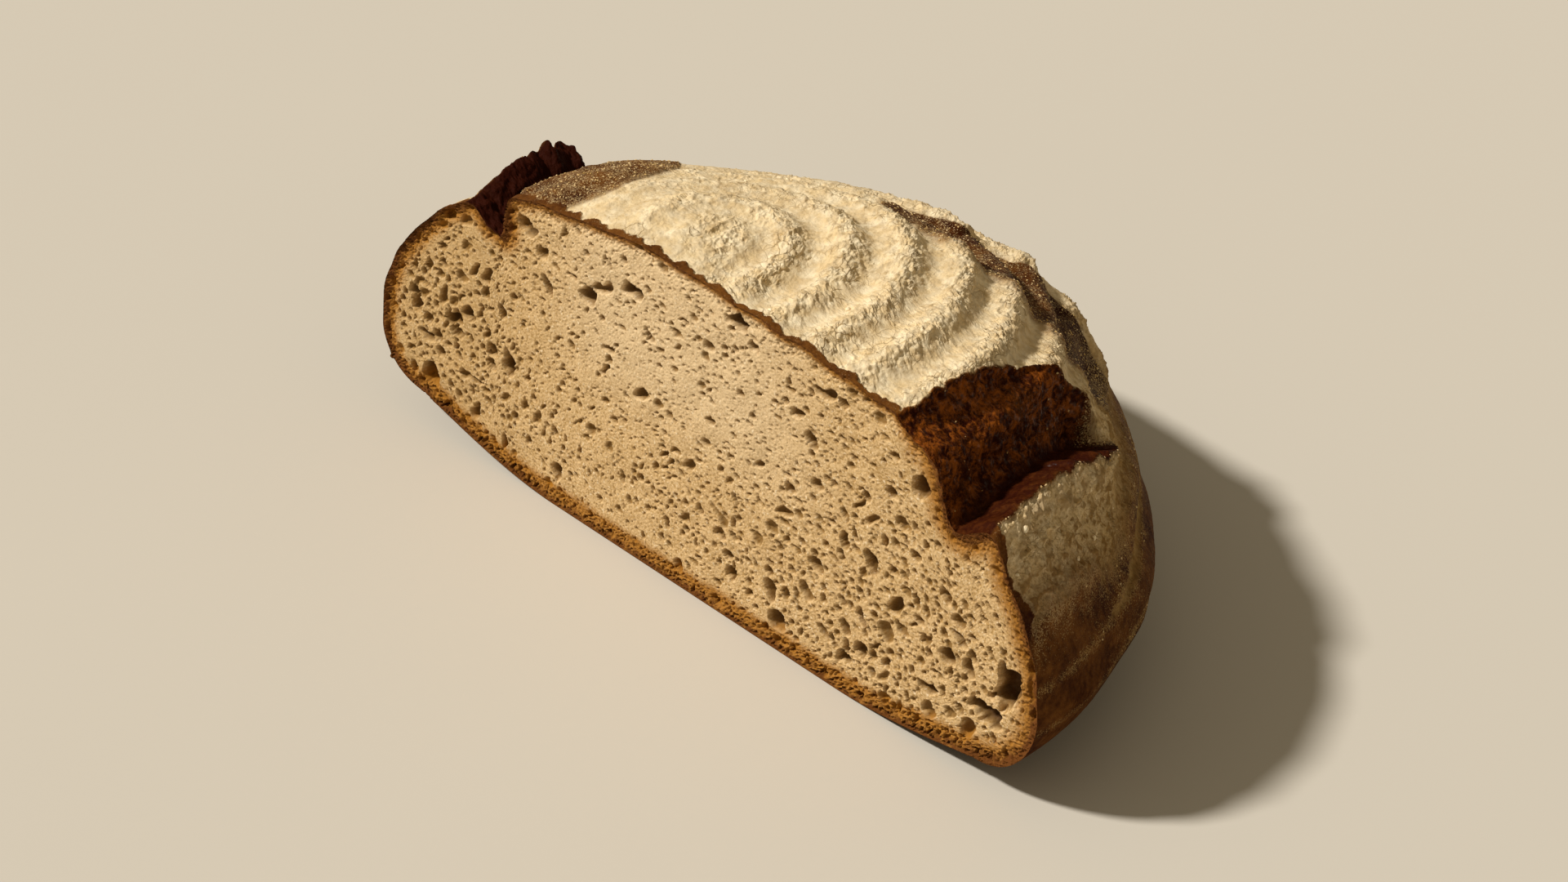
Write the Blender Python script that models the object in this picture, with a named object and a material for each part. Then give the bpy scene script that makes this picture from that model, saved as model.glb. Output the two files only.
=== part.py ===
"""Half of a round sourdough loaf, cut straight through and standing on its base.

The whole loaf is shaped first: a dome with coil ridges, three deep scores with
torn lips, and a slightly rounded base.  The knife then takes the front half
away, and the largest bubbles are hollowed out of the cut crumb.

Metres, +Z up.  The cut faces -Y and the loaf is centred on its own footprint.
"""
import bpy
import bmesh
import numpy as np

# ---------------------------------------------------------------- driving sizes
CROWN_HEIGHT = 0.1058         # base to crown, without the ridges

# Five stations round the loaf: right end, right back, back, left back, left end.
REACH = (0.1236, 0.1160, 0.1220, 0.1240, 0.1248)      # plan radius
FULLNESS = (2.40, 2.75, 1.78, 1.66, 2.02)             # 2 is an ellipse, more is squarer
WIDEST_AT = (0.033, 0.028, 0.033, 0.028, 0.026)       # height of the widest point
EDGE_LIFT = (0.0070, 0.0095, 0.009, 0.010, 0.0098)    # how far the base edge curls up

CROWN_SPOT = (-0.009, 0.017)  # where the coil ridges are centred
BASE_SHARE = 0.845            # base edge, as a share of the reach
FLAT_SHARE = 0.44             # flat resting spot, as a share of the reach
BASE_CURL = 1.7               # how slowly the base curls up outside the flat spot
FOOT_ROUNDING = 2.2           # how round the wall turns under, down to the base edge

HIP_TURN = 0.62               # the side bulges low down at this turn (radians)
HIP_SPREAD = 0.55
HIP_BULGE = 0.050             # share of the reach
HIP_HEIGHT = 0.028
HIP_TALLNESS = 0.015
WAIST_DENT = 0.045            # and is drawn in above, by this share of the reach
WAIST_HEIGHT = 0.064
WAIST_TALLNESS = 0.020

RIDGE_PITCH = 0.0155          # coil ridges left by the proving basket
RIDGE_FIRST = 0.019           # first crest, measured over the dome
RIDGE_RELIEF = 0.0014
RIDGE_GROWS = (-0.050, 0.020) # x from which and to which they grow to full relief
RIDGE_LEFT_SHARE = 0.35       # share of the relief left of that
RIDGE_CROWN = (0.004, 0.016)  # over the dome: where the ridges begin
RIDGE_CAP_END = (0.095, 0.120)
RIDGE_RELIEF_WALL = 0.0006
RIDGE_WALL_START = (0.110, 0.130)
RIDGE_WALL_END = (0.165, 0.180)
RIDGE_AT_CUT = 0.3            # share of the relief at the cut
RIDGE_CUT_FADE = 0.014        # full relief this far behind it

SCORE_HEIGHTS = (0.045, 0.062)  # the scores fade out down the wall between these

LEFT_SCORE_X = -0.0790        # the short deep score, with one thin standing lip
LEFT_SCORE_LENGTH = 0.044
LEFT_SCORE_DEPTH = 0.0102
LEFT_SCORE_HALF = 0.0058
LEFT_SCORE_WALLS = 2.4        # steepness of its walls
LEFT_SCORE_FADE = 0.008       # length over which its end rises
LEFT_LIP_HEIGHT = 0.0080
LEFT_LIP_ASIDE = 0.0092
LEFT_LIP_HALF = 0.0034
LEFT_LIP_RISE = (-0.002, 0.030)  # the lip grows between these distances behind the cut
LEFT_LIP_END = 0.0405
LEFT_LIP_STOP = 0.0025        # and ends over this length

RIGHT_SCORE_LENGTH = 0.066    # the wide open score
RIGHT_SCORE_INNER = 0.0715
RIGHT_SCORE_OUTER = 0.1035
RIGHT_SCORE_DEPTH = 0.0098
RIGHT_SCORE_FADE = (0.003, -0.006)  # its far end, about the length
RIGHT_INNER_TURN = 0.0095     # how far its inner edge turns outward at the far end
RIGHT_OUTER_TAPER = 0.011     # how far its outer edge runs inward
RIGHT_OUTER_TURN = 0.008      # and turns inward at the far end
RIGHT_TURN_POWER = 5
# Steps down into it: share of the depth, start and end across the score.
RIGHT_FALLS_AT_CUT = ((0.15, 0.0, 0.06), (0.20, 0.06, 0.45), (0.65, 0.42, 0.82))
RIGHT_FALLS_BEHIND = ((0.20, 0.0, 0.07), (0.80, 0.02, 0.82))
RIGHT_FALLS_CHANGE = 0.020    # distance behind the cut over which one becomes the other
RIGHT_RISE_START = 0.86       # across: from here the floor rises to the lip
RIGHT_LIP_HEIGHT = 0.0042
RIGHT_LIP_AT = 1.05
RIGHT_LIP_HALF = (0.105, 0.16)  # inner and outer side
RIGHT_SHOULDER = 0.0022       # swell outside the lip, behind the cut
RIGHT_SHOULDER_AT = 1.42
RIGHT_SHOULDER_HALF = 0.28

BACK_SCORE_BEHIND = 0.0815    # the long shallow score across the back
BACK_SCORE_SLANT = 0.004      # how much further back it lies on the right
BACK_SLANT_END = 0.050
BACK_SCORE_HALF = 0.0130
BACK_SCORE_LEFT = (-0.022, 0.012)
BACK_SCORE_RIGHT = (0.060, 0.078)
BACK_NARROW_SHARE = 0.4       # its width at the left end
BACK_WIDENS = (-0.015, 0.025)
BACK_SCORE_WALLS = 4
BACK_SCORE_DEPTH = 0.0036
BACK_LIP_HEIGHT = 0.0018
BACK_LIP_ASIDE = 0.002
BACK_LIP_HALF = 0.0035

UNEVENNESS = 0.0007
UNEVEN_X, UNEVEN_BEHIND = (61.0, 1.3), (83.0, 0.4)      # rate and phase of the first wave
UNEVEN_SLANTED = (-74.0, 117.0, 95.0)                   # rates of the second: x, y, height
UNEVEN_SECOND_SHARE = 0.6
# Swell (above 0) and dent (below 0) of the dome along the cut: x, lift.
TRIM = ((-0.128, 0.0), (-0.118, -0.0016), (-0.108, -0.0024), (-0.097, -0.0015),
        (-0.078, -0.0010), (-0.071, 0.0006), (-0.058, 0.0005), (-0.046, -0.0004),
        (-0.027, 0.0008), (-0.015, 0.0012), (-0.004, -0.0006), (0.006, -0.0021),
        (0.016, -0.0019), (0.028, -0.0012), (0.039, 0.0004), (0.051, 0.0021),
        (0.061, 0.0038), (0.071, 0.0056), (0.083, 0.0063), (0.088, 0.0048),
        (0.092, 0.0038), (0.098, 0.0010), (0.105, 0.0008), (0.109, 0.0006),
        (0.113, 0.0028), (0.118, 0.0017), (0.123, 0.0013), (0.128, 0.0))
TRIM_FADE = 0.045             # fades this far behind the cut
TRIM_HEIGHTS = (0.030, 0.050) # and down the wall between these
TRIM_SAMPLES = 400
TRIM_WINDOW = 21              # samples over which it is smoothed
CRUST_RIM = 0.0022            # crust left standing round the cut crumb
CRUMB_SINK = 0.0005           # the crumb lies this far behind that rim

COLUMNS = 120                 # mesh columns round the whole loaf
SIDE_ROWS = 46                # rows from the crown to the base edge
BASE_ROWS = 5                 # rows across the base
FADE_ROWS = 8                 # rows above the base edge over which the relief fades
PROFILE_SAMPLES = 160
SNAP_TO_CUT = 0.0006          # points this near the knife go onto it
TOO_SHORT = 2e-5              # shorter edges are dissolved

# Largest bubbles in the cut: x, height, width, tallness, lean in degrees, depth.
BUBBLES = (
    (-0.1050, 0.0172, 0.0070, 0.0086, 0, 0.006),
    (-0.0724, 0.0375, 0.0056, 0.0094, 0, 0.005),
    (-0.0885, 0.0460, 0.0054, 0.0054, 0, 0.004),
    (-0.0960, 0.0400, 0.0046, 0.0060, 20, 0.004),
    (-0.0640, 0.0870, 0.0084, 0.0042, 10, 0.005),
    (-0.0406, 0.0768, 0.0080, 0.0050, -25, 0.004),
    (-0.0233, 0.0870, 0.0090, 0.0046, -20, 0.004),
    (0.0155, 0.0975, 0.0110, 0.0036, 0, 0.004),
    (0.0314, 0.0094, 0.0064, 0.0064, 0, 0.004),
    (0.0820, 0.0814, 0.0058, 0.0068, 0, 0.005),
    (0.0650, 0.0487, 0.0046, 0.0092, -20, 0.004),
    (0.0866, 0.0192, 0.0076, 0.0040, 0, 0.004),
    (0.1072, 0.0234, 0.0140, 0.0088, 0, 0.006),
    (0.1136, 0.0350, 0.0090, 0.0160, 8, 0.006),
)
BUBBLE_SEGMENTS = 10
BUBBLE_RINGS = 6

CRUST_COLOUR = (0.42, 0.24, 0.11, 1.0)
CRUST_ROUGHNESS = 0.85
SHARP_FROM = 40               # degrees between faces that shade as an edge


# ---------------------------------------------------------------- small helpers
def hump(distance, spread):
    """A smooth bump of height 1 at distance 0."""
    return np.exp(-(distance / spread) ** 2)


def ramp(start, end, value):
    """Rise smoothly from 0 at start to 1 at end."""
    share = np.clip((value - start) / (end - start), 0.0, 1.0)
    return share * share * (3.0 - 2.0 * share)


def around(stations, turn):
    """Read a value that is given at five stations, mirrored across the cut."""
    step = np.abs(np.arctan2(np.sin(turn), np.cos(turn))) / (np.pi / 4.0)
    first = np.minimum(step.astype(int), 3)
    share = step - first
    track = np.array((stations[1], *stations, stations[3]))
    a, b, c, d = (track[first + offset] for offset in range(4))
    return b + 0.5 * share * (c - a + share * (2 * a - 5 * b + 4 * c - d
                                               + share * (3 * (b - c) + d - a)))


# ---------------------------------------------------------------- the plain dome
def side_line(turn):
    """Share of the reach and height, from the crown down to the base edge."""
    turn = np.atleast_1d(turn)[:, None]
    power = 2.0 / around(FULLNESS, turn)
    widest = around(WIDEST_AT, turn)
    lift = around(EDGE_LIFT, turn)
    upper = np.linspace(0.0, np.pi / 2, PROFILE_SAMPLES)[None, :]
    lower = np.linspace(0.0, np.pi / 2, PROFILE_SAMPLES // 3)[None, 1:]
    share_up = np.sin(upper) ** power
    height_up = widest + (CROWN_HEIGHT - widest) * np.maximum(np.cos(upper), 0.0) ** power
    rounding = 2.0 / FOOT_ROUNDING
    share_low = BASE_SHARE + (1 - BASE_SHARE) * np.maximum(np.cos(lower), 0.0) ** rounding
    share_low = np.broadcast_to(share_low, (len(turn), lower.shape[1]))
    height_low = lift + (widest - lift) * (1.0 - np.sin(lower) ** rounding)
    share = np.concatenate((share_up, share_low), axis=1)
    height = np.concatenate((height_up, height_low), axis=1)
    away = np.abs(np.arctan2(np.sin(turn), np.cos(turn))) - HIP_TURN
    hip = HIP_BULGE * hump(height - HIP_HEIGHT, HIP_TALLNESS)
    waist = WAIST_DENT * hump(height - WAIST_HEIGHT, WAIST_TALLNESS)
    return share * (1.0 + hump(away, HIP_SPREAD) * (hip - waist)), height


def plan_point(turn, share):
    """Where a share of the reach falls, seen from above."""
    reach = around(REACH, turn)
    x = CROWN_SPOT[0] + share * (reach * np.cos(turn) - CROWN_SPOT[0])
    y = CROWN_SPOT[1] + share * (reach * np.sin(turn) - CROWN_SPOT[1])
    return x, y


def dome(columns, side_rows, base_rows):
    """Points of the plain loaf, and how far each lies from the crown over the dome."""
    turn = np.linspace(0.0, 2 * np.pi, columns, endpoint=False)
    share, height = side_line(turn)
    x, y = plan_point(turn[:, None], share)
    steps = np.sqrt(np.diff(x) ** 2 + np.diff(y) ** 2 + np.diff(height) ** 2)
    run = np.concatenate((np.zeros((columns, 1)), np.cumsum(steps, axis=1)), axis=1)
    points = np.zeros((columns, side_rows + base_rows + 1, 3))
    over = np.zeros((columns, side_rows + base_rows + 1))
    for column in range(columns):
        wanted = np.linspace(0.0, run[column, -1], side_rows + 1)
        for axis, line in enumerate((x[column], y[column], height[column])):
            points[column, :side_rows + 1, axis] = np.interp(wanted, run[column], line)
        over[column, :side_rows + 1] = wanted
        over[column, side_rows + 1:] = wanted[-1]
    inward = share[:, -1:] * np.linspace(1.0, 0.0, base_rows + 1)[None, 1:]
    base_x, base_y = plan_point(turn[:, None], inward)
    curl = np.clip((inward - FLAT_SHARE) / (share[:, -1:] - FLAT_SHARE), 0.0, 1.0)
    base_z = height[:, -1:] * curl ** BASE_CURL
    points[:, side_rows + 1:] = np.stack((base_x, base_y, base_z), axis=2)
    return points, over


# ---------------------------------------------------------------- ridges and scores
def ridge_lift(x, behind, over):
    """Coil ridges: strong on the right of the cap, faint on the left and the wall."""
    wave = np.cos(2 * np.pi * (over - RIDGE_FIRST) / RIDGE_PITCH)
    cap = RIDGE_LEFT_SHARE + (1.0 - RIDGE_LEFT_SHARE) * ramp(*RIDGE_GROWS, x)
    cap = cap * ramp(*RIDGE_CROWN, over) * (1.0 - ramp(*RIDGE_CAP_END, over))
    wall = ramp(*RIDGE_WALL_START, over) * (1.0 - ramp(*RIDGE_WALL_END, over))
    from_cut = RIDGE_AT_CUT + (1.0 - RIDGE_AT_CUT) * ramp(0.0, RIDGE_CUT_FADE, np.abs(behind))
    return wave * from_cut * (RIDGE_RELIEF * cap + RIDGE_RELIEF_WALL * wall)


def trim_lift(x, behind, height):
    """Slow swell and dent of the dome along the cut, fading behind it."""
    spots, lifts = np.array(TRIM).T
    fine = np.linspace(spots[0], spots[-1], TRIM_SAMPLES)
    window = np.hanning(TRIM_WINDOW + 2)[1:-1]
    padded = np.pad(np.interp(fine, spots, lifts), TRIM_WINDOW // 2, "edge")
    smooth = np.convolve(padded, window / window.sum(), "valid")
    fade = hump(behind, TRIM_FADE) * ramp(*TRIM_HEIGHTS, height)
    return np.interp(x, fine, smooth) * fade


def left_score_lift(x, behind):
    """A short deep cut with one thin lip standing up on its outer side."""
    reach = ramp(LEFT_SCORE_LENGTH, LEFT_SCORE_LENGTH - LEFT_SCORE_FADE, np.abs(behind))
    aside = x - LEFT_SCORE_X
    floor = LEFT_SCORE_DEPTH * np.exp(-np.abs(aside / LEFT_SCORE_HALF) ** LEFT_SCORE_WALLS)
    stop = 1.0 - ramp(LEFT_LIP_END - LEFT_LIP_STOP, LEFT_LIP_END, np.abs(behind))
    rise = ramp(*LEFT_LIP_RISE, behind) * stop
    lip = LEFT_LIP_HEIGHT * rise * hump(aside + LEFT_LIP_ASIDE, LEFT_LIP_HALF)
    return lip - reach * floor


def right_score_lift(x, behind):
    """A wide hollow: a step down from the cap, a slope, then a trench along a torn lip."""
    along = np.clip(behind / RIGHT_SCORE_LENGTH, 0.0, 1.0)
    turned = along ** RIGHT_TURN_POWER
    inner = RIGHT_SCORE_INNER + RIGHT_INNER_TURN * turned
    outer = RIGHT_SCORE_OUTER - RIGHT_OUTER_TAPER * along - RIGHT_OUTER_TURN * turned
    across = (x - inner) / (outer - inner)
    reach = ramp(*(RIGHT_SCORE_LENGTH + end for end in RIGHT_SCORE_FADE), behind)
    at_cut = ramp(RIGHT_FALLS_CHANGE, 0.0, behind)
    stepped = sum(share * ramp(start, end, across) for share, start, end in RIGHT_FALLS_AT_CUT)
    smooth = sum(share * ramp(start, end, across) for share, start, end in RIGHT_FALLS_BEHIND)
    fall = stepped * at_cut + smooth * (1.0 - at_cut)
    rise = 1.0 - ramp(RIGHT_RISE_START, 1.0, across)
    lip_half = np.where(across < RIGHT_LIP_AT, *RIGHT_LIP_HALF)
    lip = RIGHT_LIP_HEIGHT * hump(across - RIGHT_LIP_AT, lip_half)
    shoulder = RIGHT_SHOULDER * hump(across - RIGHT_SHOULDER_AT, RIGHT_SHOULDER_HALF)
    return reach * (lip + shoulder * (1.0 - at_cut) - RIGHT_SCORE_DEPTH * fall * rise)


def back_score_lift(x, behind):
    """A long shallow band across the back with a low outer lip."""
    reach = ramp(*BACK_SCORE_LEFT, x) * (1.0 - ramp(*BACK_SCORE_RIGHT, x))
    width = BACK_NARROW_SHARE + (1.0 - BACK_NARROW_SHARE) * ramp(*BACK_WIDENS, x)
    half = BACK_SCORE_HALF * width
    aside = behind - BACK_SCORE_BEHIND - BACK_SCORE_SLANT * ramp(0.0, BACK_SLANT_END, x)
    hollow = BACK_SCORE_DEPTH * np.exp(-np.abs(aside / half) ** BACK_SCORE_WALLS)
    lip = BACK_LIP_HEIGHT * hump(aside - half - BACK_LIP_ASIDE, BACK_LIP_HALF)
    return reach * (lip - hollow)


def uneven_lift(x, behind, height):
    """Slow swelling of the crust."""
    first = np.sin(UNEVEN_X[0] * x + UNEVEN_X[1])
    first = first * np.cos(UNEVEN_BEHIND[0] * behind + UNEVEN_BEHIND[1])
    rate_x, rate_behind, rate_height = UNEVEN_SLANTED
    second = np.sin(rate_x * x + rate_behind * behind + rate_height * height)
    return UNEVENNESS * (first + UNEVEN_SECOND_SHARE * second)


def crust(columns, side_rows, base_rows):
    """Points of the finished whole loaf, one row of columns at a time."""
    points, over = dome(columns, side_rows, base_rows)
    along = np.roll(points, -1, axis=0) - np.roll(points, 1, axis=0)
    down = np.gradient(points, axis=1)
    outward = np.cross(down, along)
    length = np.linalg.norm(outward, axis=2, keepdims=True)
    outward = np.where(length > 1e-12, outward / np.maximum(length, 1e-12), (0.0, 0.0, 1.0))
    x, behind, height = points[..., 0], points[..., 1], points[..., 2]
    above = ramp(*SCORE_HEIGHTS, height)
    lift = ridge_lift(x, behind, over)
    scores = left_score_lift(x, behind)
    scores += right_score_lift(x, behind)
    scores += back_score_lift(x, behind)
    lift += above * scores
    lift += uneven_lift(x, behind, height)
    lift += trim_lift(x, behind, height)
    side = np.arange(points.shape[1]) <= side_rows
    fade = 1.0 - ramp(side_rows - FADE_ROWS, side_rows, np.arange(points.shape[1]))
    lift *= (side * fade)[None, :]
    return points + outward * lift[..., None]


# ---------------------------------------------------------------- scene
def clear_scene():
    for thing in list(bpy.data.objects):
        bpy.data.objects.remove(thing, do_unlink=True)


def crust_material():
    material = bpy.data.materials.new("crust")
    material.use_nodes = True
    shader = material.node_tree.nodes["Principled BSDF"]
    shader.inputs["Base Color"].default_value = CRUST_COLOUR
    shader.inputs["Roughness"].default_value = CRUST_ROUGHNESS
    shader.inputs["Metallic"].default_value = 0.0
    material.diffuse_color = CRUST_COLOUR
    return material


def whole_loaf():
    """A sphere whose rows and columns are moved onto the crust."""
    rows = SIDE_ROWS + BASE_ROWS
    shape = bmesh.new()
    bmesh.ops.create_uvsphere(shape, u_segments=COLUMNS, v_segments=rows, radius=1.0)
    points = crust(COLUMNS, SIDE_ROWS, BASE_ROWS)
    for vert in shape.verts:
        row = round(np.arccos(np.clip(vert.co.z, -1.0, 1.0)) / np.pi * rows)
        turn = np.arctan2(vert.co.y, vert.co.x) % (2 * np.pi)
        column = round(turn / (2 * np.pi) * COLUMNS) % COLUMNS
        vert.co = points[column, row]
    return shape


def cut_in_half(shape):
    """Take away everything in front of y = 0 and close the cut with a crust rim."""
    for vert in shape.verts:
        if abs(vert.co.y) < SNAP_TO_CUT:
            vert.co.y = 0.0
    every = shape.verts[:] + shape.edges[:] + shape.faces[:]
    cut = bmesh.ops.bisect_plane(shape, geom=every, dist=1e-6, plane_co=(0.0, 0.0, 0.0),
                                 plane_no=(0.0, 1.0, 0.0), clear_inner=True)
    rim = [item for item in cut["geom_cut"] if isinstance(item, bmesh.types.BMEdge)]
    face = bmesh.ops.contextual_create(shape, geom=rim)["faces"]
    bmesh.ops.recalc_face_normals(shape, faces=shape.faces[:])
    bmesh.ops.inset_region(shape, faces=face, thickness=CRUST_RIM, depth=-CRUMB_SINK,
                           use_even_offset=True, use_boundary=True)
    bmesh.ops.triangulate(shape, faces=shape.faces[:])
    bmesh.ops.dissolve_degenerate(shape, dist=TOO_SHORT, edges=shape.edges[:])
    bmesh.ops.recalc_face_normals(shape, faces=shape.faces[:])


def centre_on_footprint(shape):
    """Move the half loaf so that its base is at z = 0 and its footprint at the origin."""
    corners = np.array([vert.co for vert in shape.verts])
    low, high = corners.min(axis=0), corners.max(axis=0)
    shift = np.array((-(low[0] + high[0]) / 2, -(low[1] + high[1]) / 2, -low[2]))
    bmesh.ops.translate(shape, verts=shape.verts[:], vec=shift)
    return shift


def bubble_cutters(shift, collection):
    """One flattened ball for each large bubble, sunk into the cut."""
    for number, (x, height, width, tall, lean, depth) in enumerate(BUBBLES):
        place = (x + shift[0], shift[1], height + shift[2])
        bpy.ops.mesh.primitive_uv_sphere_add(segments=BUBBLE_SEGMENTS, ring_count=BUBBLE_RINGS,
                                             radius=0.5, location=place,
                                             rotation=(0.0, np.radians(lean), 0.0))
        ball = bpy.context.object
        ball.name = f"bubble_cutter_{number}"
        ball.scale = (width, 2 * depth, tall)
        ball.hide_render = True
        ball.display_type = "WIRE"
        move_to(ball, collection)


def move_to(thing, collection):
    for old in list(thing.users_collection):
        old.objects.unlink(thing)
    collection.objects.link(thing)


def new_collection(name):
    collection = bpy.data.collections.new(name)
    bpy.context.scene.collection.children.link(collection)
    return collection


def build():
    clear_scene()
    parts = new_collection("sourdough_half_loaf")
    cutters = new_collection("cutters")
    shape = whole_loaf()
    cut_in_half(shape)
    shift = centre_on_footprint(shape)
    mesh = bpy.data.meshes.new("loaf")
    shape.to_mesh(mesh)
    shape.free()
    mesh.materials.append(crust_material())
    loaf = bpy.data.objects.new("loaf", mesh)
    parts.objects.link(loaf)
    mesh.shade_smooth()
    mesh.set_sharp_from_angle(angle=np.radians(SHARP_FROM))
    bubble_cutters(shift, cutters)
    hollow = loaf.modifiers.new("bubbles", "BOOLEAN")
    hollow.operation = "DIFFERENCE"
    hollow.solver = "EXACT"
    hollow.operand_type = "COLLECTION"
    hollow.collection = cutters
    cutters.hide_render = True


build()
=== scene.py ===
"""Half of a round sourdough loaf: floured crust, torn scores and cut crumb.

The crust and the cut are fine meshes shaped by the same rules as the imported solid,
so they fill its box.  Lengths are in metres.  Shapes are worked out with the cut at
y = 0 and the loaf behind it, then placed in the frame's box.
"""
import functools

import bpy
import numpy as np
from mathutils import Matrix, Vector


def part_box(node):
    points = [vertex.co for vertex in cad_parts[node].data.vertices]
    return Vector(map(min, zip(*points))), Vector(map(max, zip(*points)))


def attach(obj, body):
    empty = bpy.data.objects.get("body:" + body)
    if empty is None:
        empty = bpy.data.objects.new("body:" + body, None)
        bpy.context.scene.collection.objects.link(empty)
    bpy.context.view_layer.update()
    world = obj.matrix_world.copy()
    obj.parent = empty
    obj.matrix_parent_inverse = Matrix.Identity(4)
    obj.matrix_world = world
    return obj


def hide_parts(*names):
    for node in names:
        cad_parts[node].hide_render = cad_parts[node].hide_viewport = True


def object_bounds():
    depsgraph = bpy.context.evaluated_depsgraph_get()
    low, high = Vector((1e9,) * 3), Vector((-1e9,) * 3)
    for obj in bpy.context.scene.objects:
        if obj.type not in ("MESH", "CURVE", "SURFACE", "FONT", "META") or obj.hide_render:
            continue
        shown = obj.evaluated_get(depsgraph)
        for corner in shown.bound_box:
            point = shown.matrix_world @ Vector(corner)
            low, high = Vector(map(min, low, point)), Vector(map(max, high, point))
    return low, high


bl_info = {
    "name": "Sourdough half loaf",
    "version": (1, 0, 0),
    "blender": (4, 5, 0),
    "location": "View3D > Sidebar > Loaf",
    "description": "Models a cut sourdough loaf around its packed solid",
    "category": "Add Mesh",
}

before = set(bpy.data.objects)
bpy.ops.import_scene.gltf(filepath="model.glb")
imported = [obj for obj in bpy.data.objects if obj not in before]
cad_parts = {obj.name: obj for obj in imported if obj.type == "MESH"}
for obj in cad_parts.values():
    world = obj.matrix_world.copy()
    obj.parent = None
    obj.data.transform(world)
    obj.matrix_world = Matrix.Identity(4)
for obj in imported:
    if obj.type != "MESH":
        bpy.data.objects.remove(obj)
CAD_LOW, CAD_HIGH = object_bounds()
LOAF_LOW, LOAF_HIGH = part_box("loaf")
BODY = "root"

MM = 0.001
HALF_TURN = np.pi

# ---------------------------------------------------------------- driving sizes
CROWN_HEIGHT = 0.1058

# Five stations round the loaf: right end, right back, back, left back, left end.
REACH = (0.1236, 0.1160, 0.1220, 0.1240, 0.1248)
FULLNESS = (2.40, 2.75, 1.78, 1.66, 2.02)
WIDEST_AT = (0.033, 0.028, 0.033, 0.028, 0.026)
EDGE_LIFT = (0.0070, 0.0095, 0.009, 0.010, 0.0098)

CROWN_SPOT = (-0.009, 0.017)
BASE_SHARE = 0.845
FLAT_SHARE = 0.44
BASE_CURL = 1.7
FOOT_ROUNDING = 2.2

HIP_TURN, HIP_SPREAD, HIP_BULGE = 0.62, 0.55, 0.050
HIP_HEIGHT, HIP_TALLNESS = 0.028, 0.015
WAIST_DENT, WAIST_HEIGHT, WAIST_TALLNESS = 0.045, 0.064, 0.020

RIDGE_PITCH = 0.0155
RIDGE_FIRST = 0.019
RIDGE_RELIEF = 0.0015
RIDGE_RELIEF_WALL = 0.0006

LEFT_SCORE_X = -0.0790
LEFT_SCORE_LENGTH = 0.044
LEFT_SCORE_DEPTH = 0.0102
LEFT_SCORE_HALF = 0.0058
LEFT_LIP_HEIGHT, LEFT_LIP_ASIDE, LEFT_LIP_HALF = 0.0080, 0.0092, 0.0034
LEFT_LIP_END = 0.0405
LEFT_TUFTS = ((0.0306, 0.0017, 0.0019), (0.0356, 0.0020, 0.0021))

RIGHT_SCORE_LENGTH = 0.066
RIGHT_SCORE_INNER, RIGHT_SCORE_OUTER = 0.0715, 0.1035
RIGHT_SCORE_DEPTH = 0.0098
RIGHT_LIP_HEIGHT = 0.0042
RIGHT_SHOULDER, RIGHT_SHOULDER_AT, RIGHT_SHOULDER_HALF = 0.0022, 1.42, 0.28

BACK_SCORE_BEHIND, BACK_SCORE_HALF, BACK_SCORE_DEPTH = 0.0815, 0.0130, 0.0036
BACK_LIP_HEIGHT = 0.0018

UNEVENNESS = 0.0007
# Swell (above 0) and dent (below 0) of the dome along the cut: x, lift.
TRIM = ((-0.128, 0.0), (-0.118, -0.0016), (-0.108, -0.0024), (-0.097, -0.0015),
        (-0.078, -0.0010), (-0.071, 0.0006), (-0.058, 0.0005), (-0.046, -0.0004),
        (-0.027, 0.0008), (-0.015, 0.0012), (-0.004, -0.0006), (0.006, -0.0021),
        (0.016, -0.0019), (0.028, -0.0012), (0.039, 0.0004), (0.051, 0.0021),
        (0.061, 0.0038), (0.071, 0.0056), (0.083, 0.0063), (0.088, 0.0048),
        (0.092, 0.0038), (0.098, 0.0010), (0.105, 0.0008), (0.109, 0.0006),
        (0.113, 0.0028), (0.118, 0.0017), (0.123, 0.0013), (0.128, 0.0))
TRIM_FADE = 0.045
FLOUR_ROOM = 0.0006           # the plain crust is this much lower, for the flour on it

CRUST_GRID = 540              # squares from the cut to the back over the crust
BASE_STEP = 9                 # crust squares to one square of the base
CUT_COLUMNS, CUT_ROWS = 760, 320
CUT_SHOULDER = 0.066          # wall from the base edge to the corner of the cut grid
CUT_STRIPS = 4
RASTER = 0.00015              # step of the raster that the bubbles are stamped on

# Largest bubbles in the cut: x, height, width, tallness, lean in degrees, depth.
BUBBLES = (
    (-0.1050, 0.0172, 0.0070, 0.0086, 0, 0.0060), (-0.0724, 0.0375, 0.0056, 0.0094, 0, 0.005),
    (-0.0885, 0.0460, 0.0054, 0.0054, 0, 0.0040), (-0.0960, 0.0400, 0.0046, 0.0060, 20, 0.004),
    (-0.0640, 0.0870, 0.0084, 0.0042, 10, 0.005), (-0.0406, 0.0768, 0.0080, 0.0050, -25, 0.004),
    (-0.0233, 0.0870, 0.0090, 0.0046, -20, 0.004), (0.0155, 0.0975, 0.0110, 0.0036, 0, 0.004),
    (0.0314, 0.0094, 0.0064, 0.0064, 0, 0.0040), (0.0820, 0.0814, 0.0058, 0.0068, 0, 0.0050),
    (0.0650, 0.0487, 0.0046, 0.0092, -20, 0.004), (0.0866, 0.0192, 0.0076, 0.0040, 0, 0.004),
    (0.1072, 0.0234, 0.0140, 0.0088, 0, 0.0060), (0.1136, 0.0350, 0.0090, 0.0160, 8, 0.0060),
)
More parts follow.
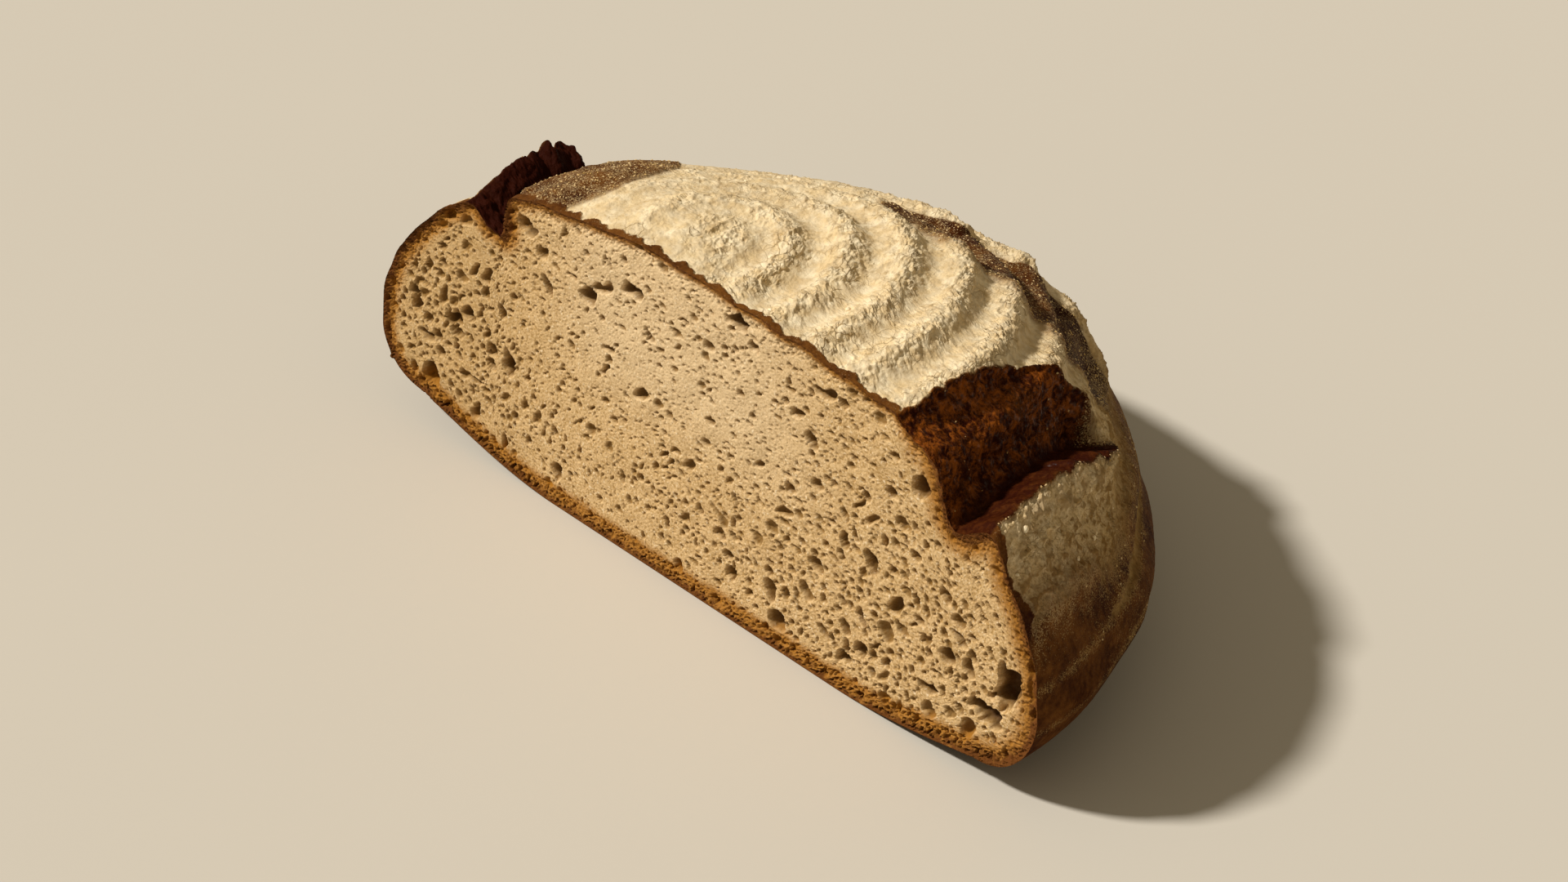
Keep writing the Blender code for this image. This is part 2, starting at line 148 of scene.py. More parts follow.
# Middling bubbles: x, height, width, tallness, lean in degrees (depth follows the width).
MIDDLING = (
    (-0.0935, 0.0421, 0.0044, 0.0062, 12), (-0.0935, 0.0374, 0.0056, 0.0044, 0),
    (-0.0982, 0.0468, 0.0028, 0.0082, 24), (-0.0799, 0.0627, 0.0030, 0.0076, 24),
    (-0.0855, 0.0618, 0.0030, 0.0074, 28), (-0.0813, 0.0566, 0.0022, 0.0056, 14),
    (-0.1099, 0.0384, 0.0046, 0.0056, 10), (-0.1108, 0.0421, 0.0044, 0.0044, 0),
    (-0.1014, 0.0318, 0.0036, 0.0040, 0), (-0.0884, 0.0244, 0.0110, 0.0034, -6),
    (-0.0799, 0.0337, 0.0036, 0.0048, 0), (-0.0748, 0.0534, 0.0036, 0.0048, 10),
    (-0.0353, 0.0824, 0.0090, 0.0030, -30), (-0.0201, 0.0552, 0.0074, 0.0038, -20),
    (0.0483, 0.0927, 0.0082, 0.0036, -14), (0.0333, 0.0468, 0.0076, 0.0026, -22),
    (0.0744, 0.0393, 0.0044, 0.0074, 16), (0.0931, 0.0337, 0.0056, 0.0064, -20),
    (0.1006, 0.0337, 0.0036, 0.0074, -16), (0.1016, 0.0384, 0.0036, 0.0046, -20),
    (0.0286, 0.0178, 0.0038, 0.0074, 0), (0.0345, 0.0200, 0.0030, 0.0056, 0),
    (0.0136, 0.0150, 0.0046, 0.0042, 0), (0.0099, 0.0262, 0.0046, 0.0036, 0),
    (0.0127, 0.0206, 0.0036, 0.0036, 0), (0.0623, 0.0178, 0.0054, 0.0050, 0),
    (0.0562, 0.0216, 0.0028, 0.0064, -12), (0.0417, 0.0253, 0.0036, 0.0066, -30),
    (0.0604, 0.0637, 0.0022, 0.0072, 40), (0.0651, 0.0618, 0.0022, 0.0070, 40),
    (-0.0538, 0.0113, 0.0044, 0.0072, 0), (-0.0753, 0.0099, 0.0028, 0.0064, 0),
    (-0.0060, 0.0066, 0.0036, 0.0046, 0), (-0.0955, 0.0752, 0.0066, 0.0042, -55),
    (0.1222, 0.0468, 0.0034, 0.0082, 4), (0.0380, 0.0806, 0.0064, 0.0036, -34),
    (0.0430, 0.0748, 0.0040, 0.0056, -30), (-0.0560, 0.0720, 0.0034, 0.0060, -18),
)


# ---------------------------------------------------------------- small helpers
def hump(distance, spread):
    """A smooth bump of height 1 at distance 0."""
    return np.exp(-(distance / spread) ** 2)


def ramp(start, end, value):
    """Rise smoothly from 0 at start to 1 at end."""
    share = np.clip((value - start) / (end - start), 0.0, 1.0)
    return share * share * (3.0 - 2.0 * share)


def around(stations, turn):
    """Read a value that is given at five stations, mirrored across the cut."""
    step = np.abs(np.arctan2(np.sin(turn), np.cos(turn))) / (np.pi / 4.0)
    first = np.minimum(step.astype(int), 3)
    share = step - first
    track = np.array((stations[1], *stations, stations[3]))
    a, b, c, d = (track[first + offset] for offset in range(4))
    return b + 0.5 * share * (c - a + share * (2 * a - 5 * b + 4 * c - d
                                               + share * (3 * (b - c) + d - a)))


def sampled(table, row, column):
    """Read a table between its cells; row and column run from 0 to 1."""
    high = np.clip(row, 0.0, 1.0) * (table.shape[0] - 1)
    wide = np.clip(column, 0.0, 1.0) * (table.shape[1] - 1)
    i = np.minimum(high.astype(int), table.shape[0] - 2)
    j = np.minimum(wide.astype(int), table.shape[1] - 2)
    s, t = high - i, wide - j
    return ((table[i, j] * (1 - s) + table[i + 1, j] * s) * (1 - t)
            + (table[i, j + 1] * (1 - s) + table[i + 1, j + 1] * s) * t)


def soft_noise(shape, step, wavelength, seed, stretch=1.0):
    """Smooth noise of mean 0 and spread 1 with one main wavelength."""
    white = np.random.default_rng(seed).standard_normal(shape)
    down = np.fft.fftfreq(shape[0], step)[:, None] * wavelength
    across = np.fft.rfftfreq(shape[1], step)[None, :] * wavelength * stretch
    rate = np.sqrt(down ** 2 + across ** 2)
    band = rate * np.exp(-(rate ** 2))
    smooth = np.fft.irfft2(np.fft.rfft2(white) * band, s=shape)
    return smooth / smooth.std()


def wander(along, wavelength, seed):
    """A wavering line: smooth noise along one direction."""
    span = np.arange(-0.2, 0.2, 0.0005)
    rough = soft_noise((8, len(span)), 0.0005, wavelength, seed)[0]
    return np.interp(along, span, rough)


# ---------------------------------------------------------------- the plain dome
def from_crown(x, behind):
    """Turn and share of the reach of a plan point, as the crown spot sees it."""
    turns = np.linspace(-np.pi, np.pi, 2881)
    reach = around(REACH, turns)
    edge_x = reach * np.cos(turns) - CROWN_SPOT[0]
    edge_y = reach * np.sin(turns) - CROWN_SPOT[1]
    edge_angle = np.unwrap(np.arctan2(edge_y, edge_x))
    out_x, out_y = x - CROWN_SPOT[0], behind - CROWN_SPOT[1]
    angle = np.arctan2(out_y, out_x)
    angle = np.where(angle < edge_angle[0], angle + 2 * np.pi, angle)
    turn = np.interp(angle, edge_angle, turns)
    limit = np.interp(angle, edge_angle, np.hypot(edge_x, edge_y))
    return turn, np.hypot(out_x, out_y) / limit


def over_the_dome(turn, share):
    """Length over the dome from the crown to a share of the reach."""
    turns = np.linspace(0.0, np.pi, 181)
    arcs = np.linspace(0.0, np.pi / 2, 400)
    line = np.sin(arcs)[None, :]
    power = around(FULLNESS, turns)[:, None]
    widest = around(WIDEST_AT, turns)[:, None]
    height = widest + (CROWN_HEIGHT - widest) * (1.0 - line ** power) ** (1.0 / power)
    reach = around(REACH, turns)
    flat = np.hypot(reach * np.cos(turns) - CROWN_SPOT[0], reach * np.sin(turns) - CROWN_SPOT[1])
    steps = np.hypot(np.diff(line * flat[:, None], axis=1), np.diff(height, axis=1))
    run = np.concatenate((np.zeros((len(turns), 1)), np.cumsum(steps, axis=1)), axis=1)
    away = np.abs(np.arctan2(np.sin(turn), np.cos(turn))) / np.pi
    return sampled(run, away, np.arcsin(np.clip(share, 0.0, 1.0)) / (np.pi / 2))


@functools.lru_cache(maxsize=1)
def dome_tables(turns=541, rows=601):
    """x, distance behind the cut, height and length from the crown, in even steps."""
    turn = np.linspace(0.0, np.pi, turns)[:, None]
    upper = np.sin(np.linspace(0.0, np.pi / 2, 281))[None, :]
    reach = around(REACH, turn)
    edge_x, edge_y = reach * np.cos(turn), reach * np.sin(turn)
    x, behind = upper * edge_x, upper * edge_y
    seen, share = from_crown(x, behind)
    share = np.clip(share, 0.0, 1.0)
    power = around(FULLNESS, seen)
    widest = around(WIDEST_AT, seen)
    height = widest + (CROWN_HEIGHT - widest) * (1.0 - share ** power) ** (1.0 / power)
    over = over_the_dome(seen, share)

    lower = np.linspace(0.0, np.pi / 2, 100)[1:]
    rounding = 2.0 / FOOT_ROUNDING
    foot = BASE_SHARE + (1 - BASE_SHARE) * np.maximum(np.cos(lower), 0.0) ** rounding
    inward = np.array([np.interp(foot, share[i], upper[0]) for i in range(turns)])
    foot_turn = np.array([np.interp(inward[i], upper[0], seen[i]) for i in range(turns)])
    lift = around(EDGE_LIFT, foot_turn)
    foot_widest = around(WIDEST_AT, foot_turn)
    foot_height = lift + (foot_widest - lift) * (1.0 - np.sin(lower) ** rounding)
    x = np.concatenate((x, inward * edge_x), axis=1)
    behind = np.concatenate((behind, inward * edge_y), axis=1)
    height = np.concatenate((height, foot_height), axis=1)
    seen = np.concatenate((seen, foot_turn), axis=1)
    over = np.concatenate((over, np.zeros_like(foot_height)), axis=1)

    away = np.abs(np.arctan2(np.sin(seen), np.cos(seen))) - HIP_TURN
    hip = HIP_BULGE * hump(height - HIP_HEIGHT, HIP_TALLNESS)
    waist = WAIST_DENT * hump(height - WAIST_HEIGHT, WAIST_TALLNESS)
    wider = 1.0 + hump(away, HIP_SPREAD) * (hip - waist)
    x = CROWN_SPOT[0] + (x - CROWN_SPOT[0]) * wider
    behind = CROWN_SPOT[1] + (behind - CROWN_SPOT[1]) * wider
    fade = ramp(0.030, 0.0, np.maximum(behind, 0.0))
    right_slip, left_slip = behind[0].copy(), behind[-1].copy()
    behind -= fade * np.where(x > 0.0, right_slip[None, :], left_slip[None, :])

    steps = np.sqrt(np.diff(x) ** 2 + np.diff(behind) ** 2 + np.diff(height) ** 2)
    run = np.concatenate((np.zeros((turns, 1)), np.cumsum(steps, axis=1)), axis=1)
    knee = upper.shape[1] - 1
    over[:, knee + 1:] = over[:, knee:knee + 1] + run[:, knee + 1:] - run[:, knee:knee + 1]
    even = np.zeros((4, turns, rows))
    for i in range(turns):
        wanted = np.linspace(0.0, run[i, -1], rows)
        for axis, line in enumerate((x[i], behind[i], height[i], over[i])):
            even[axis, i] = np.interp(wanted, run[i], line)
    return even


def half_disc(across, back):
    """Turn and share of a half disc for a point of the half square, without poles."""
    wide = np.abs(across) > back
    share = np.where(wide, np.abs(across), back)
    safe = np.maximum(share, 1e-9)
    side = np.where(across >= 0, 0.25 * back / safe, 1.0 - 0.25 * back / safe)
    turn = np.where(wide, side, 0.5 - 0.25 * across / safe)
    return np.pi * turn, share


def disc_grid(squares):
    """The half square's grid: rows run back from the cut."""
    across = np.linspace(-1.0, 1.0, 2 * squares + 1)[None, :]
    back = np.linspace(0.0, 1.0, squares + 1)[:, None]
    return half_disc(*np.broadcast_arrays(across, back))


# ---------------------------------------------------------------- ridges and scores
def ridge_lift(x, behind, over):
    """Coil ridges: strong on the right of the cap, faint on the left and the wall."""
    wave = np.cos(2 * np.pi * (over - RIDGE_FIRST) / RIDGE_PITCH)
    cap = (0.35 + 0.65 * ramp(-0.050, 0.020, x)) * (1.0 - ramp(0.095, 0.120, over))
    wall = RIDGE_RELIEF_WALL * ramp(0.110, 0.130, over) * (1.0 - ramp(0.165, 0.180, over))
    from_cut = 0.3 + 0.7 * ramp(0.0, 0.014, np.abs(behind))
    return wave * from_cut * (RIDGE_RELIEF * cap * ramp(0.004, 0.016, over) + wall)


def trim_lift(x, behind, height):
    """Slow swell and dent of the dome along the cut, fading behind it."""
    spots, lifts = np.array(TRIM).T
    fine = np.linspace(spots[0], spots[-1], 400)
    smooth = np.convolve(np.pad(np.interp(fine, spots, lifts), 10, "edge"),
                         np.hanning(23)[1:-1] / np.hanning(23).sum(), "valid")
    return np.interp(x, fine, smooth) * hump(behind, TRIM_FADE) * ramp(0.030, 0.050, height)


def left_score(x, behind):
    """How far along a point is inside the left score, and its distance from the floor."""
    reach = ramp(LEFT_SCORE_LENGTH, LEFT_SCORE_LENGTH - 0.008, np.abs(behind))
    return reach, x - LEFT_SCORE_X + 0.0004 * wander(behind, 0.006, 11)


def left_score_lift(x, behind):
    """A short deep cut with one thin lip standing up on its outer side."""
    reach, aside = left_score(x, behind)
    floor = LEFT_SCORE_DEPTH * np.exp(-np.abs(aside / LEFT_SCORE_HALF) ** 2.4)
    rise = ramp(-0.002, 0.030, behind)
    jag = 1.0 + 0.03 * wander(behind, 0.004, 12)
    lip = LEFT_LIP_HEIGHT * jag * rise * hump(aside + LEFT_LIP_ASIDE, LEFT_LIP_HALF)
    tufts = sum(tall * np.exp(-np.abs((behind - spot) / wide) ** 4)
                for spot, wide, tall in LEFT_TUFTS)
    stop = ramp(LEFT_LIP_END + 0.0010, LEFT_LIP_END - 0.0015, np.abs(behind))
    return stop * (lip + tufts * hump(aside + LEFT_LIP_ASIDE, 0.0021)) - reach * floor


def right_score(x, behind):
    """How far along a point is inside the right score, and 0 to 1 across it."""
    along = np.clip(behind / RIGHT_SCORE_LENGTH, 0.0, 1.0)
    inner = RIGHT_SCORE_INNER + 0.0095 * along ** 5 + 0.0003 * wander(behind, 0.005, 21)
    outer = RIGHT_SCORE_OUTER - 0.011 * along - 0.008 * along ** 5
    reach = ramp(RIGHT_SCORE_LENGTH + 0.003, RIGHT_SCORE_LENGTH - 0.006, behind)
    across = (x - inner) / (outer - inner)
    jag = 0.00022 * wander(behind, 0.0080, 22) + 0.00006 * wander(behind, 0.0022, 23)
    return reach, across - jag * ramp(0.75, 0.98, across) / (outer - inner)


def right_score_lift(x, behind):
    """A wide hollow: a step down from the cap, a slope, then a trench along a torn lip."""
    reach, across = right_score(x, behind)
    at_cut = ramp(0.020, 0.0, behind)
    stepped = 0.15 * ramp(0.0, 0.06, across) + 0.20 * ramp(0.06, 0.45, across)
    stepped += 0.65 * ramp(0.42, 0.82, across)
    smooth = 0.20 * ramp(0.0, 0.07, across) + 0.80 * ramp(0.02, 0.82, across)
    fall = stepped * at_cut + smooth * (1.0 - at_cut)
    rise = 1.0 - ramp(0.88, 1.0, across)
    lip = RIGHT_LIP_HEIGHT * hump(across - 1.05, np.where(across < 1.05, 0.10, 0.16))
    shoulder = RIGHT_SHOULDER * hump(across - RIGHT_SHOULDER_AT, RIGHT_SHOULDER_HALF)
    return reach * (lip + shoulder * (1.0 - at_cut) - RIGHT_SCORE_DEPTH * fall * rise)


def back_score(x, behind):
    """How far along a point is inside the back score, and its distance across it."""
    reach = ramp(-0.022, 0.012, x) * (1.0 - ramp(0.060, 0.078, x))
    half = BACK_SCORE_HALF * (0.4 + 0.6 * ramp(-0.015, 0.025, x))
    aside = behind - BACK_SCORE_BEHIND - 0.004 * ramp(0.0, 0.050, x)
    return reach, half, aside + 0.0005 * wander(x, 0.006, 31)


def back_score_lift(x, behind):
    """A long shallow band across the back with a low outer lip."""
    reach, half, aside = back_score(x, behind)
    hollow = BACK_SCORE_DEPTH * np.exp(-np.abs(aside / half) ** 4)
    lip = BACK_LIP_HEIGHT * hump(aside - half - 0.002, 0.0030)
    return reach * (lip - hollow)


def uneven_lift(x, behind, height):
    """Slow swelling of the crust."""
    first = np.sin(61.0 * x + 1.3) * np.cos(83.0 * behind + 0.4)
    second = np.sin(117.0 * behind - 74.0 * x + 95.0 * height)
    return UNEVENNESS * (first + 0.6 * second)


def flour_zones(x, behind, height, over):
    """Flour cover, how burnt the bare crust is, and how crumbly the flour cake is."""
    high = ramp(0.045, 0.062, height)
    reach, aside = left_score(x, behind)
    reach = ramp(LEFT_LIP_END + 0.0020, LEFT_LIP_END + 0.0005, behind)
    in_left = reach * ramp(-0.0105, -0.0085, aside) * (1.0 - ramp(0.0058, 0.0085, aside)) * high
    reach, across = right_score(x, behind)
    in_right = reach * ramp(-0.01, 0.03, across) * (1.0 - ramp(0.99, 1.03, across)) * high
    glossy = in_right * (1.0 - 0.85 * ramp(0.72, 0.90, across))
    reach, half, aside = back_score(x, behind)
    outer = 1.0 - ramp(0.85, 1.02, aside / half)
    inner = 1.0 - ramp(0.80, 1.75, -aside / half)
    in_back = ramp(0.2, 0.6, reach) * outer * inner * high

    edge = np.interp(behind, (0.0, 0.002, 0.008, 0.016, 0.029, 0.042, 0.060),
                     (-0.057, -0.051, -0.048, -0.045, -0.048, -0.050, -0.066))
    band = (1.0 - ramp(-0.002, 0.002, x - edge)) * ramp(-0.090, -0.083, x) * high
    band *= 1.0 - ramp(0.050, 0.064, behind)

    lower = 0.012 * ramp(0.020, 0.050, behind)
    wall = ramp(0.030, 0.080, height + lower)
    arcs = hump(height - 0.040, 0.0026) + 0.8 * hump(height - 0.0265, 0.0022)
    arcs *= 0.40 * ramp(0.030, 0.080, np.abs(x))
    arcs += 0.22 * ramp(0.020, 0.050, behind) * ramp(0.018, 0.030, height)
    cover = np.maximum(0.95 * wall, arcs + 0.06)
    cover = cover * (1.0 - band) + 0.46 * band
    cover = cover * (1.0 - in_back) + 0.40 * in_back
    brink = 0.0013 + 0.0005 * wander(x, 0.007, 24) + 0.0003 * wander(x, 0.002, 25)
    brink = (1.0 - ramp(brink, brink + 0.0012, behind)) * high
    cover *= (1.0 - in_left) * (1.0 - in_right) * (1.0 - 0.8 * brink)
    burn = np.maximum(np.maximum(1.3 * in_left, 1.1 * in_right),
                      np.maximum(0.75 * in_back, 0.6 * band))
    burn = np.maximum(burn, 0.45 * brink)
    crest = 0.5 + 0.5 * np.cos(2 * np.pi * (over - RIDGE_FIRST) / RIDGE_PITCH)
    crumbly = (0.40 + 0.60 * ramp(-0.045, 0.020, x)) * (0.30 + 0.70 * crest)
    crumbly = crumbly + 0.8 * ramp(0.084, 0.098, x) * ramp(0.050, 0.062, height)
    return cover, burn, crumbly, glossy


@functools.lru_cache(maxsize=1)
def plain_crust():
    """Grid points of the crust with its ridges and scores, and its zones."""
    turn, share = disc_grid(CRUST_GRID)
    x, behind, height, over = (sampled(table, turn / np.pi, share) for table in dome_tables())
    points = np.stack((x, behind, height), axis=2)
    outward = np.cross(np.gradient(points, axis=1), np.gradient(points, axis=0))
    outward /= np.maximum(np.linalg.norm(outward, axis=2, keepdims=True), 1e-12)
    above = ramp(0.045, 0.062, height)
    scores = left_score_lift(x, behind) + right_score_lift(x, behind) + back_score_lift(x, behind)
    lift = ridge_lift(x, behind, over) + above * scores + uneven_lift(x, behind, height)
    lift = lift + trim_lift(x, behind, height) - FLOUR_ROOM
    fade = 1.0 - ramp(0.83, 0.995, share)
    points = points + outward * (lift * fade)[..., None]
    points = onto_the_cut(points)
    zones = flour_zones(x, behind, height, over)
    quiet = 1.0 - ramp(0.93, 0.99, share)
    return points, np.stack((*zones, quiet, share), axis=2)


def onto_the_cut(points):
    """Bring the first row back onto the cut, and the rows near it with it."""
    rows = np.arange(points.shape[0])[:, None]
    fade = 1.0 - ramp(0.0, points.shape[0] / 12, rows)
    points[..., 1] -= points[:1, :, 1] * fade
    points[1:, :, 1] = np.maximum(points[1:, :, 1], 0.0)
    return points


# ---------------------------------------------------------------- node trees
class Socket:
    """An output of a node tree that ordinary arithmetic can be written with."""

    def __init__(self, nodes, socket):
        self.nodes = nodes
        self.socket = socket

    def __add__(self, other):
        return self.nodes.maths("ADD", self, other)

    def __sub__(self, other):
        return self.nodes.maths("SUBTRACT", self, other)

    def __rsub__(self, other):
        return self.nodes.maths("SUBTRACT", other, self)

    def __mul__(self, other):
        return self.nodes.maths("MULTIPLY", self, other)

    def __truediv__(self, other):
        return self.nodes.maths("DIVIDE", self, other)

    def __rtruediv__(self, other):
        return self.nodes.maths("DIVIDE", other, self)

    def __pow__(self, other):
        return self.nodes.maths("POWER", self, other)

    __radd__ = __add__
    __rmul__ = __mul__

    def ramp(self, start, end):
        """Rise smoothly from 0 at start to 1 at end."""
        settings = {"interpolation_type": "SMOOTHSTEP"}
        inputs = {"Value": self, "From Min": start, "From Max": end}
        return self.nodes.add("ShaderNodeMapRange", settings, inputs)

    def least(self, other):
        return self.nodes.maths("MINIMUM", self, other)

    def most(self, other):
        return self.nodes.maths("MAXIMUM", self, other)


class Nodes:
    """One node tree.  Every node in it comes from add()."""

    def __init__(self, tree):
        self.tree = tree

    def add(self, kind, settings=None, inputs=None, output=0):
        node = self.tree.nodes.new(kind)
        for name, value in (settings or {}).items():
            setattr(node, name, value)
        for name, value in (inputs or {}).items():
            if isinstance(value, Socket):
                self.tree.links.new(value.socket, node.inputs[name])
            else:
                node.inputs[name].default_value = value
        return Socket(self, node.outputs[output]) if len(node.outputs) else None

    def maths(self, operation, first, second):
        return self.add("ShaderNodeMath", {"operation": operation}, {0: first, 1: second})

    def noise(self, place, size, detail=2.0, roughness=0.5, output=0):
        """Noise whose features are about size metres across."""
        inputs = {"Vector": place, "Scale": 1.0 / size, "Detail": detail, "Roughness": roughness}
        return self.add("ShaderNodeTexNoise", {}, inputs, output)

    def cells(self, place, size, feature="F1", smooth=None):
        """Distance within cells about size metres across."""
        inputs = {"Vector": place, "Scale": 1.0 / size}
        if smooth is not None:
            inputs["Smoothness"] = smooth
        return self.add("ShaderNodeTexVoronoi", {"feature": feature}, inputs)

    def cell_level(self, place, size):
        """A random level from 0 to 1 for each cell."""
        tint = self.add("ShaderNodeTexVoronoi", {}, {"Vector": place, "Scale": 1.0 / size}, 1)
        return self.add("ShaderNodeSeparateXYZ", {}, {0: tint})

    def mounds(self, place, size):
        """Rounded mounds that meet in creases."""
        apart = self.cells(self.warped(place, size * 0.9, size * 0.8), size)
        return 0.45 - apart * apart * 1.3

    def warped(self, place, size, amount):
        """A position pushed about by noise."""
        push = self.noise(place, size, detail=1.0, output=1)
        push = self.vector("SUBTRACT", push, (0.5, 0.5, 0.5))
        return self.vector("ADD", place, self.scaled(push, amount))

    def vector(self, operation, first, second):
        return self.add("ShaderNodeVectorMath", {"operation": operation}, {0: first, 1: second})

    def scaled(self, value, factor):
        inputs = {0: value, "Scale": factor}
        return self.add("ShaderNodeVectorMath", {"operation": "SCALE"}, inputs)

    def mixed(self, factor, first, second):
        """A colour between two colours."""
        inputs = {0: factor, 6: first, 7: second}
        return self.add("ShaderNodeMix", {"data_type": "RGBA"}, inputs, 2)

    def stored(self, name):
        """A number kept on the mesh, in a geometry tree."""
        inputs = {"Name": name}
        return self.add("GeometryNodeInputNamedAttribute", {"data_type": "FLOAT"}, inputs)

    def kept(self, geometry, name, value):
        """The geometry with a number kept on its points."""
        settings = {"data_type": "FLOAT", "domain": "POINT"}
        inputs = {"Geometry": geometry, "Name": name, "Value": value}
        return self.add("GeometryNodeStoreNamedAttribute", settings, inputs)

    def read(self, name):
        """A number kept on the mesh, in a material."""
        return self.add("ShaderNodeAttribute", {"attribute_name": name}, {}, 2)


def geometry_tree(name, sizes):
    """A new geometry tree with named inputs, its group input's sockets and its nodes."""
    tree = bpy.data.node_groups.new(name, "GeometryNodeTree")
    face = tree.interface
    face.new_socket("Geometry", in_out="INPUT", socket_type="NodeSocketGeometry")
    for size, (default, kind) in sizes.items():
        socket = face.new_socket(size, in_out="INPUT", socket_type=kind)
        socket.default_value = default
    face.new_socket("Geometry", in_out="OUTPUT", socket_type="NodeSocketGeometry")
    nodes = Nodes(tree)
    group_in = tree.nodes.new("NodeGroupInput")
    given = {socket.name: Socket(nodes, socket) for socket in group_in.outputs if socket.name}
    return tree, nodes, given


def finish_tree(tree, nodes, geometry, material):
    """End a geometry tree: realize instances, set the material, group output."""
    real = nodes.add("GeometryNodeRealizeInstances", {}, {"Geometry": geometry})
    inputs = {"Geometry": real, "Material": material}
    painted = nodes.add("GeometryNodeSetMaterial", {}, inputs)
    nodes.add("NodeGroupOutput", {}, {"Geometry": painted})


def run_tree(mesh, tree, values):
    """The plain mesh that a geometry tree makes from a mesh."""
    thing = bpy.data.objects.new("under_work", mesh)
    bpy.context.scene.collection.objects.link(thing)
    modifier = thing.modifiers.new("shape", "NODES")
    modifier.node_group = tree
    for item in tree.interface.items_tree:
        if item.in_out == "INPUT" and item.name in values:
            modifier[item.identifier] = values[item.name]
    graph = bpy.context.evaluated_depsgraph_get()
    made = bpy.data.meshes.new_from_object(thing.evaluated_get(graph))
    bpy.data.objects.remove(thing, do_unlink=True)
    return made


# ---------------------------------------------------------------- meshes
def grid_faces(rows, columns):
    """Corner numbers of a grid's squares."""
    corner = np.arange(rows * columns).reshape(rows, columns)
    return np.stack((corner[:-1, :-1], corner[:-1, 1:], corner[1:, 1:], corner[1:, :-1]),
                    axis=2).reshape(-1, 4)


def grid_normals(points, flip=False):
    """Outward directions of a whole grid, so that its patches meet without a seam."""
    down, along = np.gradient(points, axis=0), np.gradient(points, axis=1)
    outward = np.cross(down, along) if flip else np.cross(along, down)
    return outward / np.maximum(np.linalg.norm(outward, axis=2, keepdims=True), 1e-12)


def grid_mesh(name, points, flip=False, kept=None, unit_map=True, normals=None):
    """A mesh from a grid of points, with numbers kept on it and a map that fills a square."""
    rows, columns = points.shape[:2]
    faces = grid_faces(rows, columns)
    if flip:
        faces = faces[:, ::-1]
    mesh = bpy.data.meshes.new(name)
    mesh.vertices.add(rows * columns)
    mesh.vertices.foreach_set("co", points.astype(np.float32).ravel())
    mesh.loops.add(faces.size)
    mesh.loops.foreach_set("vertex_index", faces.astype(np.int32).ravel())
    mesh.polygons.add(len(faces))
    mesh.polygons.foreach_set("loop_start", np.arange(0, faces.size, 4, dtype=np.int32))
    mesh.update(calc_edges=True)
    mesh.shade_smooth()
    if normals is not None:
        mesh.normals_split_custom_set_from_vertices(normals.reshape(-1, 3).tolist())
    for key, numbers in (kept or {}).items():
        place = mesh.attributes.new(key, "FLOAT", "POINT")
        place.data.foreach_set("value", numbers.astype(np.float32).ravel())
    if unit_map:
        down, along = np.meshgrid(np.linspace(0.005, 0.995, rows),
                                  np.linspace(0.005, 0.995, columns), indexing="ij")
        spread = np.stack((along.ravel(), down.ravel()), axis=1)[faces.ravel()]
        mesh.uv_layers.new(name="OFBake").uv.foreach_set("vector",
                                                         spread.astype(np.float32).ravel())
    return mesh


def points_of(mesh, shape):
    """A mesh's points as a grid."""
    flat = np.empty(len(mesh.vertices) * 3, np.float32)
    mesh.vertices.foreach_get("co", flat)
    return flat.reshape(*shape, 3).astype(float)


def number_of(mesh, name, shape):
    """A number kept on a mesh's points, as a grid."""
    flat = np.empty(len(mesh.vertices), np.float32)
    mesh.attributes[name].data.foreach_get("value", flat)
    return flat.reshape(shape).astype(float)


def placed(points):
    """Move points from the cut's own frame into the frame's box, and keep them inside it."""
    crust, _ = plain_crust()
    middle = (crust[..., 0].min() + crust[..., 0].max()) / 2
    box_middle = (LOAF_LOW.x + LOAF_HIGH.x) / 2
    moved = points + np.array((box_middle - middle, LOAF_LOW.y, LOAF_LOW.z))
    return np.clip(moved, np.array(LOAF_LOW) + 1e-6, np.array(LOAF_HIGH) - 1e-6)


def add_piece(name, mesh, material=None):
    """A finished piece: rides on the loaf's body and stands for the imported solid."""
    if material is not None:
        mesh.materials.clear()
        mesh.materials.append(material)
    piece = bpy.data.objects.new(name, mesh)
    bpy.context.scene.collection.objects.link(piece)
    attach(piece, BODY)
    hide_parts("loaf")
    return piece


# ---------------------------------------------------------------- crust relief
def cracked_places(nodes, place, crumbly):
    """Where the cake is broken up fine, from 0 to 1."""
    drift = nodes.noise(place, 0.010, detail=2.0) - 0.5
    return (crumbly * 1.2 + drift * 1.8).ramp(0.30, 0.90)


def cake_cracks(nodes, place, where):
    """Levels of the large and the small clods, and the cracks between them."""
    bent = nodes.warped(place, 0.0030, 0.0024)
    edge = nodes.cells(bent, 0.0042, "DISTANCE_TO_EDGE")
    some = nodes.noise(place, 0.011, detail=2.0).ramp(0.48, 0.62)
    cracks = (1.0 - edge.ramp(0.008, 0.050)) * some * (0.35 + 0.65 * where)
    bent_fine = nodes.warped(place, 0.0015, 0.0012)
    edge_fine = nodes.cells(bent_fine, 0.0021, "DISTANCE_TO_EDGE")
    patch = nodes.noise(place, 0.0060, detail=2.0).ramp(0.42, 0.62)
    cracks_fine = (1.0 - edge_fine.ramp(0.01, 0.10)) * (0.04 + 0.60 * where) * patch
    crack = cracks.most(cracks_fine)
    return (nodes.cell_level(bent, 0.0042) * some, nodes.cell_level(bent_fine, 0.0021), crack)


